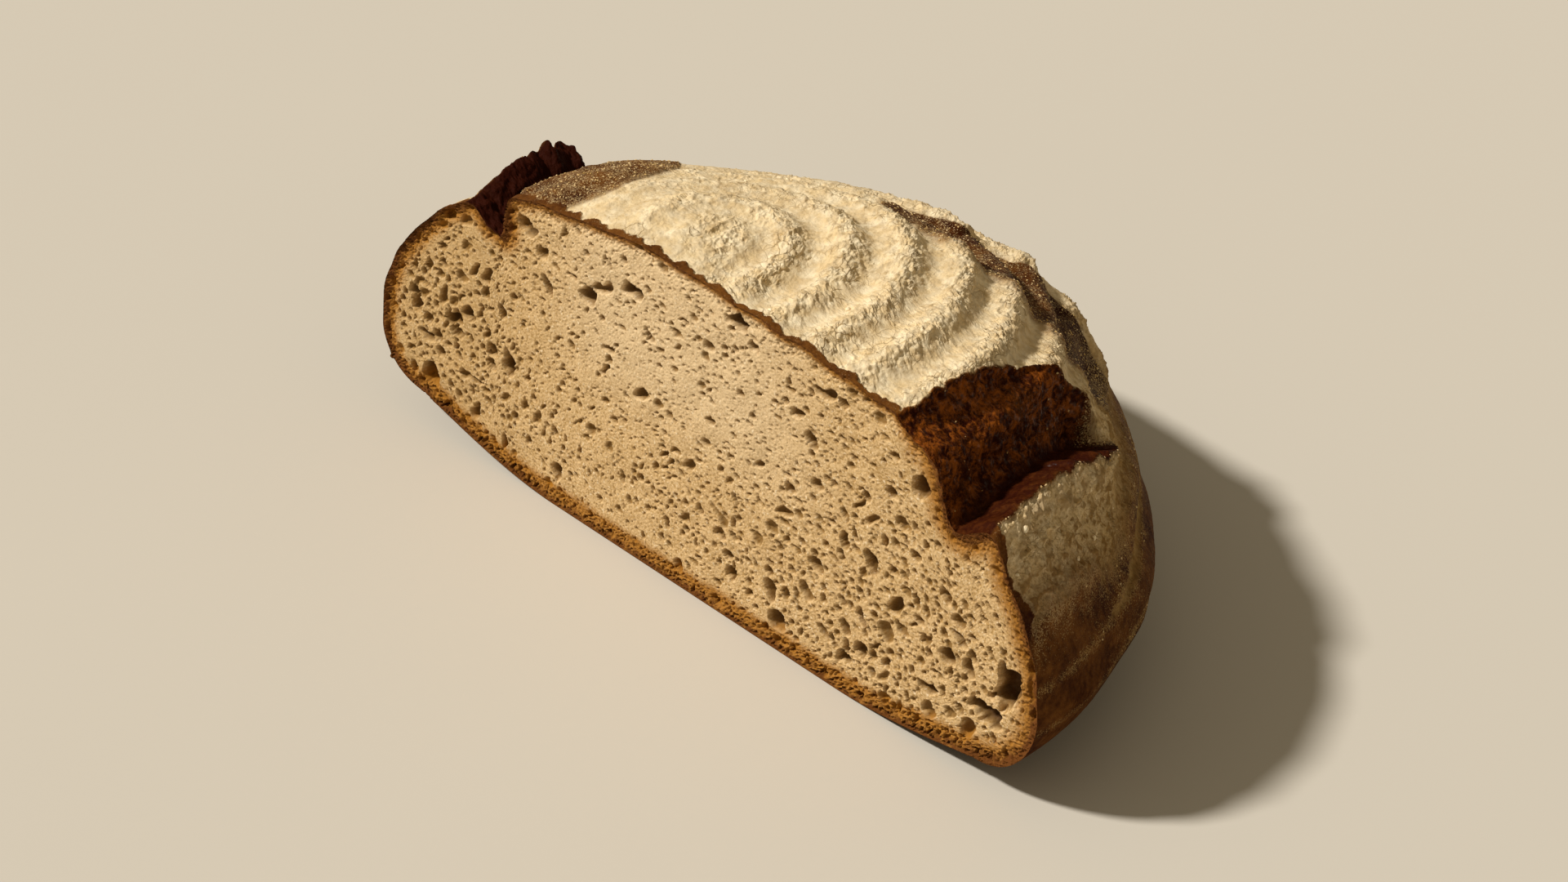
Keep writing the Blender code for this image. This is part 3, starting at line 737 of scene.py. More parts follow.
def crust_relief_tree(material):
    """Flour cake, its cracks and clods, and the rough bare crust, laid on the plain crust."""
    length, plain = "NodeSocketFloat", "NodeSocketFloat"
    tree, nodes, given = geometry_tree("crust_relief", {
        "Flour Thickness": (0.0006, length),
        "Crack Depth": (0.0006, length),
        "Clod Height": (0.0009, length),
        "Tear Height": (0.0009, length),
        "Seed": (1.0, plain),
    })
    place = nodes.add("GeometryNodeInputPosition")
    away = nodes.add("ShaderNodeCombineXYZ", {}, {"X": given["Seed"]})
    place = nodes.vector("ADD", place, away)
    cover, burn = nodes.stored("cover"), nodes.stored("burn")
    crumbly, gash, quiet = nodes.stored("crumbly"), nodes.stored("gash"), nodes.stored("quiet")

    patches = nodes.noise(place, 0.007, detail=5.0, roughness=0.62)
    cake = (cover + (patches - 0.5) * 0.55).ramp(0.50, 0.68)

    where = cracked_places(nodes, place, crumbly)
    broken = 0.25 + 0.75 * where
    level, level_fine, crack = cake_cracks(nodes, place, where)
    swell = nodes.noise(place, 0.0040, detail=4.0, roughness=0.60) - 0.5
    ledge = nodes.noise(place, 0.0055, detail=3.0, roughness=0.60).ramp(0.50, 0.57)
    clod = (level * 0.10 + level_fine * 0.08 * where + swell * (0.45 + 0.35 * where)
            + ledge * 0.16 + nodes.mounds(place, 0.0032) * 0.55 * broken
            + nodes.mounds(place, 0.0017) * (0.14 + 0.30 * where)
            + nodes.mounds(place, 0.0009) * (0.05 + 0.13 * where))
    grain = nodes.noise(place, 0.0007, detail=2.0, roughness=0.6) - 0.5

    taller = 0.90 + crumbly.ramp(0.7, 1.5) * 0.7
    flour = cake * (given["Flour Thickness"] + given["Clod Height"] * clod * taller
                    - given["Crack Depth"] * crack)
    torn = nodes.noise(nodes.warped(place, 0.006, 0.005), 0.0042, detail=6.0, roughness=0.62)
    blister = nodes.cells(nodes.warped(place, 0.003, 0.002), 0.0026, "SMOOTH_F1", 0.5)
    charred = burn.ramp(1.0, 1.3)
    bare = (torn - 0.5) * (0.35 + 1.9 * gash + 5.0 * charred) + (0.5 - blister) * 0.35 * gash
    rough = nodes.noise(place, 0.0012, detail=3.0, roughness=0.6) - 0.5
    bare = (bare + rough * (0.22 + 0.35 * burn)) * given["Tear Height"]
    height = (flour + bare * (1.0 - cake * 0.85) + grain * 0.00016) * quiet

    normal = nodes.add("GeometryNodeInputNormal")
    inputs = {"Geometry": given["Geometry"], "Offset": nodes.scaled(normal, height)}
    shape = nodes.add("GeometryNodeSetPosition", {}, inputs)
    shape = nodes.kept(shape, "cake", cake)
    shape = nodes.kept(shape, "crack", crack)
    shape = nodes.kept(shape, "clod", clod)
    finish_tree(tree, nodes, shape, material)
    return tree


KEPT_ON_CRUST = ("cover", "burn", "crumbly", "gash", "quiet")


@functools.lru_cache(maxsize=1)
def crust_shell(thickness, crack_depth, clod_height, tear_height):
    """The finished crust's points, and the numbers that its material reads."""
    points, zones = plain_crust()
    kept = {name: zones[..., n] for n, name in enumerate(KEPT_ON_CRUST)}
    rest = {f"rest_{axis}": points[..., n] for n, axis in enumerate("xyz")}
    mesh = grid_mesh("plain_crust", points, flip=True, kept=kept, unit_map=False)
    values = {"Flour Thickness": thickness, "Crack Depth": crack_depth,
              "Clod Height": clod_height, "Tear Height": tear_height}
    made = run_tree(mesh, crust_relief_tree(None), values)
    shape = points.shape[:2]
    shell = onto_the_cut(points_of(made, shape))
    numbers = {name: number_of(made, name, shape)
               for name in (*KEPT_ON_CRUST, "cake", "crack", "clod")}
    numbers.update(rest)
    bpy.data.meshes.remove(made)
    bpy.data.meshes.remove(mesh)
    return shell, numbers


def shell_for(sizes):
    return crust_shell(sizes.flour_thickness, sizes.crack_depth,
                       sizes.clod_height, sizes.tear_height)


def make_crust(sizes, material):
    """Eight patches of crust, four along the cut and four behind them."""
    shell, numbers = shell_for(sizes)
    normals = grid_normals(shell, flip=True)
    side = CRUST_GRID // 2
    for back in range(2):
        for across in range(4):
            part = (slice(back * side, (back + 1) * side + 1),
                    slice(across * side, (across + 1) * side + 1))
            kept = {name: grid[part] for name, grid in numbers.items()}
            name = f"crust_{'front' if back == 0 else 'back'}_{across + 1}"
            mesh = grid_mesh(name, placed(shell[part]), flip=True, kept=kept,
                             normals=normals[part])
            add_piece(name, mesh, material)


def base_points(shell):
    """The base: from the crust's edge in to the flat spot."""
    coarse = CRUST_GRID // BASE_STEP
    turn, share = disc_grid(coarse)
    last, middle = shell.shape[0] - 1, CRUST_GRID
    left = shell[:, 0][::-1]
    ring = np.concatenate((shell[:, -1], shell[last, ::-1][1:-1], left))
    arc = np.zeros(len(ring))
    arc[1:] = np.cumsum(np.linalg.norm(np.diff(ring, axis=0), axis=1))
    across = np.concatenate((np.ones(last + 1), np.linspace(1, -1, 2 * middle + 1)[1:-1],
                             -np.ones(last + 1)))
    back = np.concatenate((np.linspace(0, 1, last + 1), np.ones(2 * middle - 1),
                           np.linspace(1, 0, last + 1)))
    ring_turn, _ = half_disc(across, back)
    edge = np.stack([np.interp(turn, ring_turn, ring[:, axis]) for axis in range(3)], axis=2)
    flat = FLAT_SHARE / BASE_SHARE
    curl = np.clip((share - flat) / (1.0 - flat), 0.0, 1.0) ** BASE_CURL
    points = edge * share[..., None]
    points[..., 2] = edge[..., 2] * curl
    return points


def make_base(sizes, material):
    """The underside, in a left and a right half."""
    shell, _ = shell_for(sizes)
    points = base_points(shell)
    rough = soft_noise(points.shape[:2], 0.0022, 0.009, 41)
    inner = ramp(0, 4, np.arange(points.shape[0]))[:, None]
    side = np.minimum(np.arange(points.shape[1]), np.arange(points.shape[1])[::-1])
    rise = np.minimum(inner, ramp(0, 4, side)[None, :]) * np.minimum(
        inner[::-1], 1.0) * (0.5 + 0.5 * np.clip(rough, -1, 1)) * 0.0006
    points[..., 2] += rise
    middle = points.shape[1] // 2
    zero = np.zeros(points.shape[:2])
    for name, part in (("base_left", slice(0, middle + 1)), ("base_right", slice(middle, None))):
        kept = {key: zero[:, part] for key in (*KEPT_ON_CRUST, "cake", "crack", "clod")}
        kept.update({f"rest_{axis}": points[:, part, n] for n, axis in enumerate("xyz")})
        kept["burn"] = kept["burn"] + 0.55
        kept["cover"] = kept["cover"] + 0.12
        mesh = grid_mesh(name, placed(points[:, part]), flip=False, kept=kept)
        add_piece(name, mesh, material)


# ---------------------------------------------------------------- the cut
def evenly(line, count):
    """A line's points, moved to even steps along it."""
    steps = np.linalg.norm(np.diff(line, axis=0), axis=1)
    run = np.concatenate(((0.0,), np.cumsum(steps)))
    wanted = np.linspace(0.0, run[-1], count)
    return np.stack([np.interp(wanted, run, line[:, axis]) for axis in range(line.shape[1])],
                    axis=1)


def cut_outline(shell, sizes):
    """Base line, top line and the two wall lines of the cut, as x and height."""
    rim = shell[0][:, (0, 2)]
    run = np.concatenate(((0.0,), np.cumsum(np.linalg.norm(np.diff(rim, axis=0), axis=1))))
    first = np.searchsorted(run, CUT_SHOULDER)
    last = np.searchsorted(run, run[-1] - CUT_SHOULDER)
    base = base_points(shell)[0][:, (0, 2)]
    return (evenly(base, CUT_COLUMNS + 1), evenly(rim[first:last + 1], CUT_COLUMNS + 1),
            evenly(rim[:first + 1], CUT_ROWS + 1), evenly(rim[last:][::-1], CUT_ROWS + 1))


def cut_grid(shell, sizes):
    """Grid of the cut, filled in between its four border lines."""
    base, top, left, right = cut_outline(shell, sizes)
    u = np.linspace(0.0, 1.0, CUT_COLUMNS + 1)[None, :, None]
    v = np.linspace(0.0, 1.0, CUT_ROWS + 1)[:, None, None]
    corners = ((1 - u) * (1 - v) * base[0] + u * (1 - v) * base[-1]
               + (1 - u) * v * top[0] + u * v * top[-1])
    return ((1 - v) * base[None] + v * top[None] + (1 - u) * left[:, None]
            + u * right[:, None] - corners)


def border_distance(grid):
    """Distance of each point of the cut to the crust above and to the base."""
    base, top, left, right = grid[0], grid[-1], grid[:, 0], grid[:, -1]
    above = np.concatenate((left, top, right[::-1]))
    found = []
    for line in (above, base):
        line = evenly(line, 420).astype(np.float32)
        flat = grid.reshape(-1, 2).astype(np.float32)
        nearest = np.empty(len(flat))
        for start in range(0, len(flat), 20000):
            block = flat[start:start + 20000]
            gap = ((block[:, None, 0] - line[None, :, 0]) ** 2
                   + (block[:, None, 1] - line[None, :, 1]) ** 2)
            nearest[start:start + 20000] = np.sqrt(gap.min(axis=1))
        found.append(nearest.reshape(grid.shape[:2]))
    return found


def shell_lean(x, height):
    """Lean of small bubbles: they lie along the nearest crust."""
    return np.arctan2(-(height - 0.018) / 0.084 ** 2, x / 0.125 ** 2)


class BubbleRaster:
    """A flat map of the cut on which bubbles are stamped as hollows."""

    def __init__(self):
        self.x = np.arange(-0.130, 0.130, RASTER)
        self.z = np.arange(-0.002, 0.110, RASTER)
        shape = (len(self.z), len(self.x))
        self.depth = np.zeros(shape)
        self.hole = np.zeros(shape)
        self.wobble = [soft_noise(shape, RASTER, size, seed)
                       for size, seed in ((0.0012, 1), (0.0012, 2), (0.0032, 3), (0.0032, 4),
                                          (0.0080, 5), (0.0080, 6))]

    def stamp(self, x, z, width, tall, lean, depth, edge=0.45):
        """Hollow out one bubble; lean is in radians, to the right when positive."""
        size = max(width, tall)
        reach = 0.75 * size + RASTER
        columns = slice(*np.searchsorted(self.x, (x - reach, x + reach)))
        rows = slice(*np.searchsorted(self.z, (z - reach, z + reach)))
        level = 0 if size < 0.0022 else 2 if size < 0.006 else 4
        push_x = self.wobble[level][rows, columns] * size * 0.055
        push_z = self.wobble[level + 1][rows, columns] * size * 0.055
        if level:
            push_x = push_x + self.wobble[level - 2][rows, columns] * size * 0.022
            push_z = push_z + self.wobble[level - 1][rows, columns] * size * 0.022
        dx = self.x[None, columns] - x + push_x
        dz = self.z[rows, None] - z + push_z
        along = dx * np.sin(lean) + dz * np.cos(lean)
        across = dx * np.cos(lean) - dz * np.sin(lean)
        ring = (across / (width / 2)) ** 2 + (along / (tall / 2)) ** 2
        bowl = np.clip(1.0 - ring, 0.0, 1.0) ** 0.72
        self.depth[rows, columns] = np.maximum(self.depth[rows, columns], depth * bowl)
        # The hole share sets how far the crumb's colour goes to the bubble wall colour and its painted shade.
        inside = ramp(0.0, edge, 1.0 - ring) * min(1.0, depth / 0.0008)
        self.hole[rows, columns] = np.maximum(self.hole[rows, columns], inside)

    def is_free(self, x, z, size):
        """Whether no bubble reaches into a square about this place."""
        columns = slice(*np.searchsorted(self.x, (x - size, x + size)))
        rows = slice(*np.searchsorted(self.z, (z - size, z + size)))
        return self.hole[rows, columns].max(initial=0.0) < 0.2

    def scatter(self, count, seed, small, large, skew, stretch, depth_share):
        """Stamp random bubbles in free places, larger where the crumb is open."""
        dice = np.random.default_rng(seed)
        x = dice.uniform(-0.126, 0.126, count)
        z = dice.uniform(0.001, 0.106, count)
        keen = open_crumb(x, z)
        roll = dice.uniform(0.0, 1.0, count)
        draw = dice.uniform(0.0, 1.0, count) ** skew
        jitter = dice.normal(0.0, 0.45, count)
        long_by = 1.0 + stretch * dice.uniform(0.0, 1.0, count) ** 1.5
        deep = depth_share * dice.uniform(0.45, 1.15, count)
        lean = shell_lean(x, z) + jitter
        for i in np.nonzero(roll < 0.35 + 0.65 * keen)[0]:
            size = (small + (large - small) * draw[i]) * (0.72 + 0.5 * keen[i])
            if not self.is_free(x[i], z[i], size * 0.48):
                continue
            self.stamp(x[i], z[i], size / np.sqrt(long_by[i]), size * np.sqrt(long_by[i]),
                       lean[i], size * deep[i])

    def read(self, grid, x, z):
        row = (z - self.z[0]) / (self.z[-1] - self.z[0])
        column = (x - self.x[0]) / (self.x[-1] - self.x[0])
        return sampled(grid, row, column)


def open_crumb(x, z):
    """Where the crumb is open: at the left end and low down towards the right."""
    left = hump(np.minimum(x + 0.100, 0.0) + np.maximum(x + 0.100, 0.0), 0.034)
    right = hump(x - 0.085, 0.045) * (1.0 - ramp(0.050, 0.085, z))
    middle = 0.55 * hump(x - 0.020, 0.050) * hump(z - 0.028, 0.022)
    top = 0.45 * hump(x - 0.030, 0.050) * hump(z - 0.088, 0.014)
    return np.clip(left + right + middle + top, 0.0, 1.0)


def bubble_raster(sizes):
    """The cut's bubbles, from the largest down to the fine sponge."""
    raster = BubbleRaster()
    seed = sizes.crumb_seed
    for x, z, width, tall, lean, depth in BUBBLES:
        raster.stamp(x, z, width, tall, np.radians(lean), depth, 0.30)
    for x, z, width, tall, lean in MIDDLING:
        raster.stamp(x, z, width, tall, np.radians(lean), 0.65 * min(width, tall) + 0.0004, 0.40)
    raster.scatter(int(700 * sizes.pore_amount), seed + 2, 0.0024, 0.0052, 1.9, 1.8, 0.66)
    raster.scatter(int(2300 * sizes.pore_amount), seed + 1, 0.0014, 0.0027, 1.4, 1.8, 0.70)
    raster.scatter(int(7000 * sizes.pore_amount), seed, 0.0007, 0.0015, 1.0, 1.3, 0.75)
    return raster


@functools.lru_cache(maxsize=1)
def cut_surface(thickness, crack_depth, clod_height, tear_height, seed, amount, sponge):
    """Points of the cut and the numbers that the crumb's material reads."""
    sizes = bpy.context.scene.loaf_sizes
    shell, _ = crust_shell(thickness, crack_depth, clod_height, tear_height)
    grid = cut_grid(shell, sizes)
    x, z = grid[..., 0], grid[..., 1]
    above, below = border_distance(grid)
    thin_crust = 1.0 + 0.9 * ramp(0.086, 0.099, z) - 0.30 * ramp(0.055, 0.075, x)
    border = np.minimum(above, below)
    raster = bubble_raster(sizes)
    hollow = raster.read(raster.depth, x, z)
    hole = raster.read(raster.hole, x, z)
    shape = raster.depth.shape
    fine = raster.read(soft_noise(shape, RASTER, 0.0010, 51), x, z)
    finer = raster.read(soft_noise(shape, RASTER, 0.0007, 52), x, z)
    slow = raster.read(soft_noise(shape, RASTER, 0.016, 53), x, z)
    torn = raster.read(soft_noise(shape, RASTER, 0.0018, 54), x, z)
    in_base = 1.0 - ramp(0.0035, 0.0060, below)
    pits = ramp(0.7, 1.5, torn) * in_base * ramp(0.0003, 0.0012, border)
    flakes = np.abs(torn) * 0.00035 * (1.0 - ramp(0.0030, 0.0060, border))
    skin = ramp(0.0, 0.0007, border)
    sink = 0.00045 * ramp(0.0002, 0.0030, border)
    spongy = sponge * (ramp(0.9, 2.2, fine) + 0.30 * finer + 0.5)
    spongy *= 1.0 - 0.70 * ramp(0.0002, 0.0015, hollow)
    depth = skin * (sink + spongy + flakes + 0.00015 * slow.clip(-1.5, 1.5))
    keep = ramp(0.0005, 0.0016, border)
    depth = depth + hollow * keep + 0.0022 * pits
    points = np.stack((x, np.maximum(depth, 0.0), z), axis=2)
    # hole and hollow carry the bubbles into the crumb's colour: darker walls and painted shade that deepens
    # with depth.
    numbers = {"above": above * thin_crust, "below": below, "sponge": fine,
               "hollow": np.maximum(hollow * keep, 0.004 * pits),
               "hole": np.maximum(hole * keep, pits)}
    return points, numbers


def make_cut(sizes, material):
    """The cut face in upright strips."""
    points, numbers = cut_surface(sizes.flour_thickness, sizes.crack_depth, sizes.clod_height,
                                  sizes.tear_height, sizes.crumb_seed, sizes.pore_amount,
                                  sizes.sponge_depth)
    points = placed(points)
    normals = grid_normals(points)
    width = CUT_COLUMNS // CUT_STRIPS
    for strip in range(CUT_STRIPS):
        part = (slice(None), slice(strip * width, (strip + 1) * width + 1))
        kept = {name: grid[part] for name, grid in numbers.items()}
        name = f"cut_crumb_{strip + 1}"
        mesh = grid_mesh(name, points[part], kept=kept, normals=normals[part])
        add_piece(name, mesh, material)


# ---------------------------------------------------------------- loose flour
def flour_tree(material):
    """Lumps of flour scattered over the caked flour."""
    tree, nodes, given = geometry_tree("flour_clumps", {
        "Per Square Metre": (150000.0, "NodeSocketFloat"),
        "Smallest": (0.00035, "NodeSocketFloat"),
        "Largest": (0.0011, "NodeSocketFloat"),
        "Facets": (2, "NodeSocketInt"),
        "Seed": (3, "NodeSocketInt"),
    })
    wanted = nodes.stored("wanted") * given["Per Square Metre"]
    scattered = nodes.tree.nodes.new("GeometryNodeDistributePointsOnFaces")
    scattered.distribute_method = "RANDOM"
    tree.links.new(given["Geometry"].socket, scattered.inputs["Mesh"])
    tree.links.new(wanted.socket, scattered.inputs["Density"])
    tree.links.new(given["Seed"].socket, scattered.inputs["Seed"])
    points, facing = Socket(nodes, scattered.outputs[0]), Socket(nodes, scattered.outputs[2])
    ball = nodes.add("GeometryNodeMeshIcoSphere", {}, {"Radius": 1.0,
                                                      "Subdivisions": given["Facets"]})
    draw = nodes.add("FunctionNodeRandomValue", {"data_type": "FLOAT"},
                     {2: 0.0, 3: 1.0, "Seed": given["Seed"]}, 1)
    size = given["Smallest"] + (given["Largest"] - given["Smallest"]) * draw ** 2.5
    squash = nodes.add("FunctionNodeRandomValue", {"data_type": "FLOAT_VECTOR"},
                       {0: (0.75, 0.6, 0.45), 1: (1.25, 1.0, 0.75)})
    inputs = {"Points": points, "Instance": ball, "Rotation": facing,
              "Scale": nodes.scaled(squash, size)}
    lumps = nodes.add("GeometryNodeInstanceOnPoints", {}, inputs)
    real = nodes.add("GeometryNodeRealizeInstances", {}, {"Geometry": lumps})
    place = nodes.add("GeometryNodeInputPosition")
    push = nodes.vector("SUBTRACT", nodes.noise(place, 0.0006, detail=2.0, output=1),
                        (0.5, 0.5, 0.5))
    inputs = {"Geometry": real, "Offset": nodes.scaled(push, 0.0007)}
    rough = nodes.add("GeometryNodeSetPosition", {}, inputs)
    finish_tree(tree, nodes, rough, material)
    return tree


def make_flour(sizes, lump_material, speck_material):
    """Loose flour: lumps on the cake and specks on the bare crust."""
    shell, numbers = shell_for(sizes)
    away = np.arange(shell.shape[0])[:, None] * 0.0003
    lumpy = numbers["cake"] * ramp(0.25, 0.75, numbers["clod"]) * (1 - numbers["crack"])
    lumpy = lumpy * ramp(0.0006, 0.0020, away)
    specks = (1 - numbers["cake"]) * ramp(0.30, 0.60, numbers["cover"])
    specks *= 0.12 + 0.88 * ramp(0.3, 0.55, numbers["burn"])
    specks += 0.01 * numbers["gash"]
    for name, material, wanted, values in (
            ("flour_lumps", lump_material, lumpy, {"Per Square Metre": sizes.lumps_per_area, "Smallest": 0.0003,
                                    "Largest": 0.0011, "Facets": 2, "Seed": 3}),
            ("flour_specks", speck_material, specks, {"Per Square Metre": sizes.specks_per_area,
                                      "Smallest": 0.00012, "Largest": 0.0004, "Facets": 1,
                                      "Seed": 4})):
        emitter = grid_mesh("emitter", shell, flip=True, kept={"wanted": wanted}, unit_map=False)
        made = run_tree(emitter, flour_tree(material), values)
        bpy.data.meshes.remove(emitter)
        points = points_of(made, (len(made.vertices),))
        points[:, 1] = np.maximum(points[:, 1], 2e-5)
        made.vertices.foreach_set("co", placed(points).astype(np.float32).ravel())
        made.name = name
        made.update()
        add_piece(name, made)


# ---------------------------------------------------------------- materials
def new_material(name):
    material = bpy.data.materials.new(name)
    material.use_nodes = True
    material.node_tree.nodes.clear()
    return material, Nodes(material.node_tree)


def finish_material(nodes, inputs):
    shader = nodes.add("ShaderNodeBsdfPrincipled", {}, inputs)
    nodes.add("ShaderNodeOutputMaterial", {}, {"Surface": shader})


def paint(colour):
    return (*colour, 1.0)


def crust_material(colours):
    """Bare crust from golden to burnt, under caked and dusted flour, with painted shade in the creases between
    clods and on the lower wall and right flank.
    """
    material, nodes = new_material("floured_crust")
    place = nodes.add("ShaderNodeCombineXYZ", {}, {axis: nodes.read(f"rest_{axis.lower()}")
                                                   for axis in "XYZ"})
    cover, burn, cake = nodes.read("cover"), nodes.read("burn"), nodes.read("cake")
    gash, height = nodes.read("gash"), nodes.read("rest_z")
    # Lower wall: flour there goes towards tan, partly thinner flour and partly painted shade of the wall.
    low = 1.0 - height.ramp(0.040, 0.082)
    # Right flank: flour goes towards tan, partly thinner flour and partly painted shade for the side turned
    # away from the key light.
    flank_thin_and_shade = (1.0 - height.ramp(0.056, 0.103)) * nodes.read("rest_x").ramp(0.035, 0.070)
    # Painted shade: flour is darkened where it sinks between clods, standing in for shade in the creases.
    painted_crease_shade = 1.0 - nodes.read("clod").ramp(-0.10, 0.26)
    where = cracked_places(nodes, place, nodes.read("crumbly"))
    crack = cake_cracks(nodes, place, where)[2]

    broad = nodes.noise(place, 0.014, detail=4.0, roughness=0.6)
    fine = nodes.noise(place, 0.0022, detail=4.0, roughness=0.65)
    # Bare crust from golden towards burnt: the scores' burn, random patches, and darker towards the bottom of
    # the wall.
    baked = (burn * 0.80 + (broad - 0.5) * 1.1 + (fine - 0.5) * 0.9 + 0.10
             + low * 0.52).ramp(0.0, 1.0)
    bare = nodes.mixed(baked, paint(colours.crust), paint(colours.burnt))
    streaks = nodes.noise(nodes.warped(place, 0.004, 0.004), 0.0040, detail=8.0, roughness=0.78)
    glow = streaks.ramp(0.43, 0.64) * gash * 0.85
    bare = nodes.mixed(glow, bare, paint(colours.gash_glow))

    grains = nodes.noise(place, 0.00042, detail=2.0, roughness=0.6)
    drift = nodes.noise(place, 0.005, detail=3.0, roughness=0.6)
    speckle = (cover * 1.05 + (drift - 0.5) * 0.7 + (grains - 0.5) * 1.9).ramp(0.44, 0.68)
    thick = 0.50 + 0.50 * cover.ramp(0.55, 0.90)
    floury = (speckle * cover.ramp(0.02, 0.25) * 0.9).most(cake) * thick
    tint = nodes.noise(place, 0.004, detail=4.0, roughness=0.6)
    flour = nodes.mixed(tint.ramp(0.30, 0.75), paint(colours.flour_warm), paint(colours.flour))
    # Flour towards tan: painted shade on the lower wall and right flank, and thin flour where the cake is
    # broken.
    flour = nodes.mixed(low.most(flank_thin_and_shade * 0.45).most((1.0 - cake) * 0.7) * 0.85, flour,
                        paint(colours.flour_tan_and_shaded))
    sandy = nodes.noise(place, 0.0005, detail=2.0, roughness=0.7).ramp(0.42, 0.68)
    # Darker flour: painted crease shade between clods plus fine random grain, both stronger on the right flank.
    crease_shade_and_grain = (painted_crease_shade * (0.30 + 0.55 * flank_thin_and_shade)).most(sandy * (0.14 + 0.40 * flank_thin_and_shade))
    flour = nodes.mixed(crease_shade_and_grain * cake, flour, paint(colours.flour_crack_and_shade))
    lump = nodes.noise(place, 0.0030, detail=2.0, roughness=0.6).ramp(0.66, 0.74)
    flour = nodes.mixed(lump * 0.40, flour, paint(colours.flour_tan_and_shaded))
    flour = nodes.mixed(crack * 0.60, flour, paint(colours.flour_crack_and_shade))
    colour = nodes.mixed(floury, bare, flour)

    relief = nodes.noise(place, 0.0008, detail=4.0, roughness=0.70) - crack * 0.6 * cake
    bump = nodes.add("ShaderNodeBump", {}, {"Strength": 0.75, "Distance": 0.0005,
                                            "Height": relief})
    gloss = nodes.noise(place, 0.0016, detail=4.0, roughness=0.65).ramp(0.50, 0.68) * gash
    shine = 0.50 + 0.20 * fine
    roughness = shine + (0.95 - shine) * floury
    finish_material(nodes, {"Base Color": colour, "Roughness": roughness, "Normal": bump,
                            "Specular IOR Level": 0.03, "Coat Weight": gloss * 0.45,
                            "Coat Roughness": 0.30})
    return material


def crumb_material(colours):
    """Crumb with darker bubble walls, partly their own colour and partly painted shade that deepens with depth,
    toasted towards the crust.
    """
    material, nodes = new_material("crumb")
    place = nodes.add("ShaderNodeTexCoord", {}, {}, "Object")
    above, below, hollow = nodes.read("above"), nodes.read("below"), nodes.read("hollow")
    sponge = nodes.read("sponge")
    mottle = nodes.noise(place, 0.0022, detail=4.0, roughness=0.65)
    fleck = nodes.noise(place, 0.00065, detail=3.0, roughness=0.65)
    # Painted shade: the crumb is darker where its fine sponge sinks deeper.
    tone = ((mottle - 0.5) * 1.3 + (fleck - 0.5) * 2.2 + 0.64 - sponge * 0.20).ramp(0.0, 1.0)
    crumb = nodes.mixed(tone, paint(colours.crumb_shade), paint(colours.crumb))
    # Painted highlight: small pale glints in the crumb's colour stand in for the sheen of its cut cells.
    painted_glint = nodes.noise(place, 0.0008, detail=2.0).ramp(0.60, 0.74) * 0.75
    crumb = nodes.mixed(painted_glint, crumb, paint(colours.crumb_pale_and_glint))
    along = nodes.add("ShaderNodeSeparateXYZ", {}, {"Vector": place})
    crumb = nodes.mixed((1.0 - along.ramp(-0.098, -0.050)) * 0.36, crumb,
                        paint(colours.crumb_shade))
    up = nodes.add("ShaderNodeSeparateXYZ", {}, {"Vector": place}, 2)
    # Paler crumb in the upper middle.
    heart = along.ramp(-0.065, -0.030) * (1.0 - along.ramp(0.015, 0.060)) * up.ramp(0.035, 0.070)
    crumb = nodes.mixed(heart * 0.28, crumb, paint(colours.crumb_pale_and_glint))
    # Bubble walls: their own darker colour, with painted shade inside them.
    crumb = nodes.mixed(nodes.read("hole") * 0.85, crumb, paint(colours.pore_wall_and_shade))
    # Painted shade: deep bubbles darken towards near black as they get deeper.
    crumb = nodes.mixed(hollow.ramp(0.0010, 0.0045) * 0.85, crumb, paint(colours.pore_deep_shade))

    waver = (nodes.noise(place, 0.005, detail=4.0, roughness=0.6) - 0.5)
    top = above + waver * 0.0022
    bottom = below + waver * 0.0036
    gold_top = 1.0 - top.ramp(0.0024, 0.0072)
    gold_base = 1.0 - bottom.ramp(0.0044, 0.0086)
    gold = gold_top.most(gold_base)
    crumb = nodes.mixed(gold * 0.90, crumb, paint(colours.toasted))
    flaky = nodes.noise(place, 0.0018, detail=4.0, roughness=0.65) - 0.5
    brown_top = 1.0 - (top + flaky * 0.0050).ramp(0.0007, 0.0034)
    brown_base = 1.0 - (bottom + flaky * 0.0070).ramp(0.0002, 0.0030)
    brown = brown_top.most(brown_base)
    crumb = nodes.mixed(brown * 0.92, crumb, paint(colours.rim))
    height = nodes.noise(place, 0.0008, detail=4.0, roughness=0.7)
    bump = nodes.add("ShaderNodeBump", {}, {"Strength": 0.7, "Distance": 0.0004,
                                            "Height": height})
    roughness = 0.82 - hollow.ramp(0.0004, 0.0030) * 0.22
    finish_material(nodes, {"Base Color": crumb, "Roughness": roughness, "Normal": bump,
                            "Specular IOR Level": 0.15})
    return material


def flour_material(name, pale, dark):
    """Loose flour, a little uneven in tint."""
    material, nodes = new_material(name)
    place = nodes.add("ShaderNodeTexCoord", {}, {}, "Object")
    tint = nodes.noise(place, 0.0015, detail=3.0, roughness=0.6)
    colour = nodes.mixed(tint.ramp(0.35, 0.65), paint(dark), paint(pale))
    finish_material(nodes, {"Base Color": colour, "Roughness": 0.95, "Specular IOR Level": 0.05})
    return material


def floor_material(colour):
    """A plain pale floor with a barely uneven tone."""
    material, nodes = new_material("pale_floor")
    place = nodes.add("ShaderNodeTexCoord", {}, {}, "Object")
    tone = nodes.noise(place, 0.20, detail=2.0)
    darker = tuple(0.97 * part for part in colour)
    shade = nodes.mixed(tone, paint(darker), paint(colour))
    finish_material(nodes, {"Base Color": shade, "Roughness": 0.9})
    return material


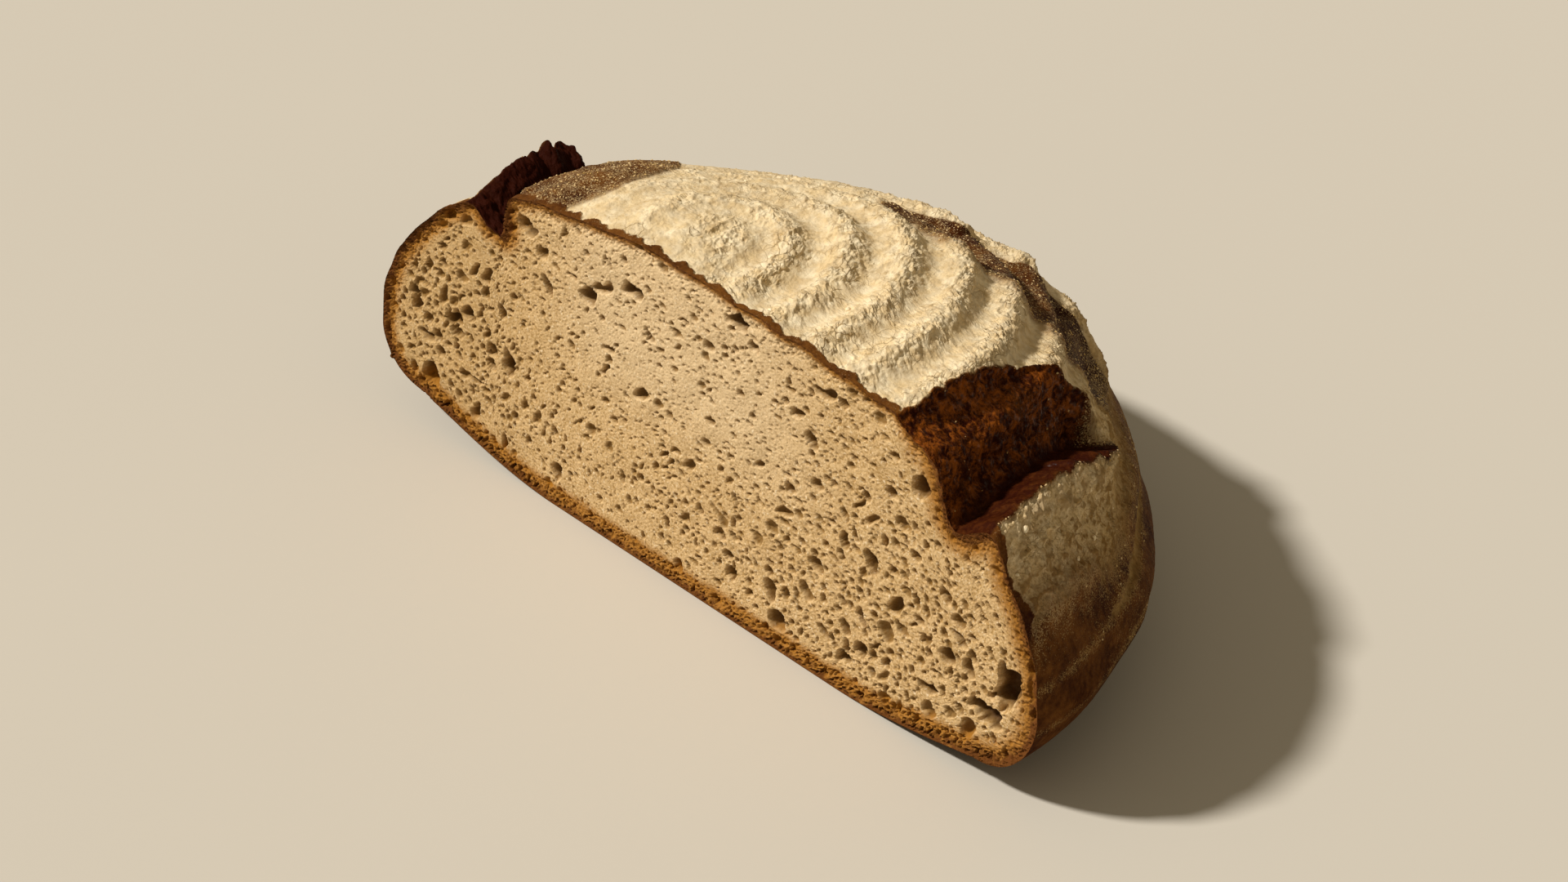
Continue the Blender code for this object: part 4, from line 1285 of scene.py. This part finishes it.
# ---------------------------------------------------------------- stage
CAMERA_PLACE = (0.8556281, -0.8139304, 0.9415444)   # in the cut's own frame
CAMERA_RIGHT = (0.698618, 0.715434, 0.009339)
CAMERA_DOWN = (0.435807, -0.415139, -0.798581)
CAMERA_AHEAD = (-0.567455, 0.561973, -0.601815)
LENS = 130.14
FLOOR_HALF = 6.0


def make_stage(settings):
    """Floor, soft key light from the left, warm fill and the camera."""
    scene = bpy.context.scene
    corners = np.array([[(-FLOOR_HALF, -FLOOR_HALF, 0.0), (FLOOR_HALF, -FLOOR_HALF, 0.0)],
                        [(-FLOOR_HALF, FLOOR_HALF, 0.0), (FLOOR_HALF, FLOOR_HALF, 0.0)]])
    corners[..., 2] = CAD_LOW.z - 0.0001
    mesh = grid_mesh("floor", corners, unit_map=False)
    mesh.materials.append(floor_material(settings.floor))
    floor = bpy.data.objects.new("floor", mesh)
    scene.collection.objects.link(floor)

    sun = bpy.data.lights.new("key", "SUN")
    sun.energy = settings.key_strength
    sun.angle = settings.key_softness
    sun.color = settings.key_colour
    key = bpy.data.objects.new("key", sun)
    key.rotation_mode = "QUATERNION"
    aim = Matrix.Identity(3).col[0].copy()
    aim.xyz = settings.key_from
    key.rotation_quaternion = aim.to_track_quat("Z", "Y")
    scene.collection.objects.link(key)

    world = bpy.data.worlds.new("studio")
    world.use_nodes = True
    sky = world.node_tree.nodes["Background"]
    sky.inputs["Color"].default_value = paint(settings.fill_colour)
    sky.inputs["Strength"].default_value = settings.fill_strength
    scene.world = world
    scene.view_settings.view_transform = "Standard"

    camera = bpy.data.cameras.new("camera")
    camera.lens = LENS
    camera.sensor_width = 36.0
    eye = bpy.data.objects.new("camera", camera)
    crust, _ = plain_crust()
    middle = (crust[..., 0].min() + crust[..., 0].max()) / 2
    spot = np.array(CAMERA_PLACE) + ((LOAF_LOW.x + LOAF_HIGH.x) / 2 - middle, LOAF_LOW.y,
                                     LOAF_LOW.z)
    turned = np.array((CAMERA_RIGHT, -np.array(CAMERA_DOWN), -np.array(CAMERA_AHEAD))).T
    pose = np.eye(4)
    pose[:3, :3] = turned
    pose[:3, 3] = spot
    eye.matrix_world = Matrix(pose.tolist())
    scene.collection.objects.link(eye)
    scene.camera = eye


# ---------------------------------------------------------------- settings
def length_setting(name, description, default):
    return bpy.props.FloatProperty(name=name, description=description, default=default,
                                   unit="LENGTH", precision=5)


def colour_setting(name, description, default):
    return bpy.props.FloatVectorProperty(name=name, description=description, default=default,
                                         subtype="COLOR", size=3, min=0.0, max=1.0)


class LoafSizes(bpy.types.PropertyGroup):
    flour_thickness: length_setting("Flour thickness", "Thickness of the caked flour", 0.0005)
    crack_depth: length_setting("Crack depth", "Depth of the cracks in the cake", 0.0005)
    clod_height: length_setting("Clod height", "Height of the clods on the cake", 0.0012)
    tear_height: length_setting("Tear height", "Roughness of the torn bare crust", 0.0009)
    sponge_depth: length_setting("Sponge depth", "Depth of the fine sponge", 0.00018)
    pore_amount: bpy.props.FloatProperty(name="Pores", description="Share of the usual number "
                                         "of small bubbles", default=1.0, min=0.0, max=3.0)
    crumb_seed: bpy.props.IntProperty(name="Crumb seed", description="Another seed gives "
                                      "another crumb", default=7)
    lumps_per_area: bpy.props.FloatProperty(name="Lumps", description="Flour lumps per square "
                                            "metre", default=110000.0)
    specks_per_area: bpy.props.FloatProperty(name="Specks", description="Flour specks per "
                                             "square metre", default=1300000.0)


class LoafColours(bpy.types.PropertyGroup):
    crumb: colour_setting("Crumb", "Bright crumb", (0.71, 0.490, 0.245))
    crumb_shade: colour_setting("Crumb shade", "Darker crumb", (0.42, 0.250, 0.085))
    # Palest crumb, used for the paler middle and for the painted glints.
    crumb_pale_and_glint: colour_setting("Crumb glint", "Palest specks in the crumb", (0.92, 0.76, 0.52))
    # Bubble wall colour, also the painted shade inside the bubbles.
    pore_wall_and_shade: colour_setting("Pore", "Bubble wall", (0.18, 0.086, 0.011))
    # Painted shade for the floors of deep bubbles.
    pore_deep_shade: colour_setting("Deep pore", "Floor of a deep bubble", (0.050, 0.015, 0.0010))
    toasted: colour_setting("Toasted", "Crumb next to the crust", (0.34, 0.135, 0.008))
    rim: colour_setting("Rim", "Cut edge of the crust", (0.105, 0.030, 0.003))
    crust: colour_setting("Crust", "Golden brown crust", (0.20, 0.075, 0.013))
    burnt: colour_setting("Burnt", "Darkest crust", (0.028, 0.0044, 0.0012))
    gash_glow: colour_setting("Score brown", "Lighter brown in the scores", (0.32, 0.088, 0.009))
    flour: colour_setting("Flour", "Bright flour", (0.87, 0.74, 0.51))
    flour_warm: colour_setting("Warm flour", "Yellower flour", (0.74, 0.56, 0.31))
    # Tan flour: thin and lumpy flour and the speck tint, and painted shade on the lower wall and right flank.
    flour_tan_and_shaded: colour_setting("Low flour", "Flour on the lower wall", (0.50, 0.31, 0.095))
    # Darker flour for the cracks in the cake and for painted shade in the creases between clods.
    flour_crack_and_shade: colour_setting("Flour crack", "Flour deep in the cracks", (0.26, 0.145, 0.040))


class StageSettings(bpy.types.PropertyGroup):
    floor: colour_setting("Floor", "Pale floor", (0.57, 0.525, 0.45))
    key_strength: bpy.props.FloatProperty(name="Key strength", description="Strength of the key "
                                          "light", default=3.8, min=0.0)
    key_softness: bpy.props.FloatProperty(name="Key softness", description="Width of the key "
                                          "light in the sky", default=0.10, subtype="ANGLE")
    key_colour: colour_setting("Key colour", "Colour of the key light", (1.0, 0.97, 0.92))
    key_from: bpy.props.FloatVectorProperty(name="Key from", description="Direction to the key "
                                            "light", default=(-0.48, -0.465, 0.743), size=3)
    fill_colour: colour_setting("Fill colour", "Colour of the fill light", (1.0, 0.86, 0.62))
    fill_strength: bpy.props.FloatProperty(name="Fill strength", description="Strength of the "
                                           "fill light", default=0.29, min=0.0)


# ---------------------------------------------------------------- operators
class LOAF_OT_crust(bpy.types.Operator):
    """Model the crust with its ridges, scores and caked flour"""
    bl_idname = "loaf.crust"
    bl_label = "Crust"

    def execute(self, context):
        make_crust(context.scene.loaf_sizes, crust_material(context.scene.loaf_colours))
        return {"FINISHED"}


class LOAF_OT_base(bpy.types.Operator):
    """Model the underside"""
    bl_idname = "loaf.base"
    bl_label = "Base"

    def execute(self, context):
        make_base(context.scene.loaf_sizes, bpy.data.materials["floured_crust"])
        return {"FINISHED"}


class LOAF_OT_cut(bpy.types.Operator):
    """Model the cut crumb and the bubbles in it"""
    bl_idname = "loaf.cut"
    bl_label = "Cut crumb"

    def execute(self, context):
        make_cut(context.scene.loaf_sizes, crumb_material(context.scene.loaf_colours))
        return {"FINISHED"}


class LOAF_OT_flour(bpy.types.Operator):
    """Scatter loose flour over the crust"""
    bl_idname = "loaf.flour"
    bl_label = "Loose flour"

    def execute(self, context):
        colours = context.scene.loaf_colours
        lumps = flour_material("loose_flour", colours.flour, colours.flour_warm)
        specks = flour_material("baked_flour", colours.flour_warm, colours.flour_tan_and_shaded)
        make_flour(context.scene.loaf_sizes, lumps, specks)
        return {"FINISHED"}


class LOAF_OT_stage(bpy.types.Operator):
    """Set up the floor, the lights and the camera"""
    bl_idname = "loaf.stage"
    bl_label = "Stage"

    def execute(self, context):
        make_stage(context.scene.loaf_stage)
        return {"FINISHED"}


class LOAF_PT_sidebar(bpy.types.Panel):
    """Sizes, colours and steps of the loaf"""
    bl_idname = "LOAF_PT_sidebar"
    bl_label = "Sourdough half loaf"
    bl_space_type = "VIEW_3D"
    bl_region_type = "UI"
    bl_category = "Loaf"

    def draw(self, context):
        for settings in (context.scene.loaf_sizes, context.scene.loaf_colours,
                         context.scene.loaf_stage):
            box = self.layout.box()
            for name in settings.__annotations__:
                box.prop(settings, name)
        for operator in OPERATORS:
            self.layout.operator(operator.bl_idname)


OPERATORS = (LOAF_OT_crust, LOAF_OT_base, LOAF_OT_cut, LOAF_OT_flour, LOAF_OT_stage)
CLASSES = (LoafSizes, LoafColours, StageSettings, *OPERATORS, LOAF_PT_sidebar)


def register():
    for kind in CLASSES:
        bpy.utils.register_class(kind)
    bpy.types.Scene.loaf_sizes = bpy.props.PointerProperty(type=LoafSizes)
    bpy.types.Scene.loaf_colours = bpy.props.PointerProperty(type=LoafColours)
    bpy.types.Scene.loaf_stage = bpy.props.PointerProperty(type=StageSettings)


def unregister():
    del bpy.types.Scene.loaf_stage
    del bpy.types.Scene.loaf_colours
    del bpy.types.Scene.loaf_sizes
    for kind in reversed(CLASSES):
        bpy.utils.unregister_class(kind)


def main():
    """Build the loaf and its stage."""
    register()
    bpy.ops.loaf.crust()
    bpy.ops.loaf.base()
    bpy.ops.loaf.cut()
    bpy.ops.loaf.flour()
    bpy.ops.loaf.stage()


if __name__ == "__main__":
    main()
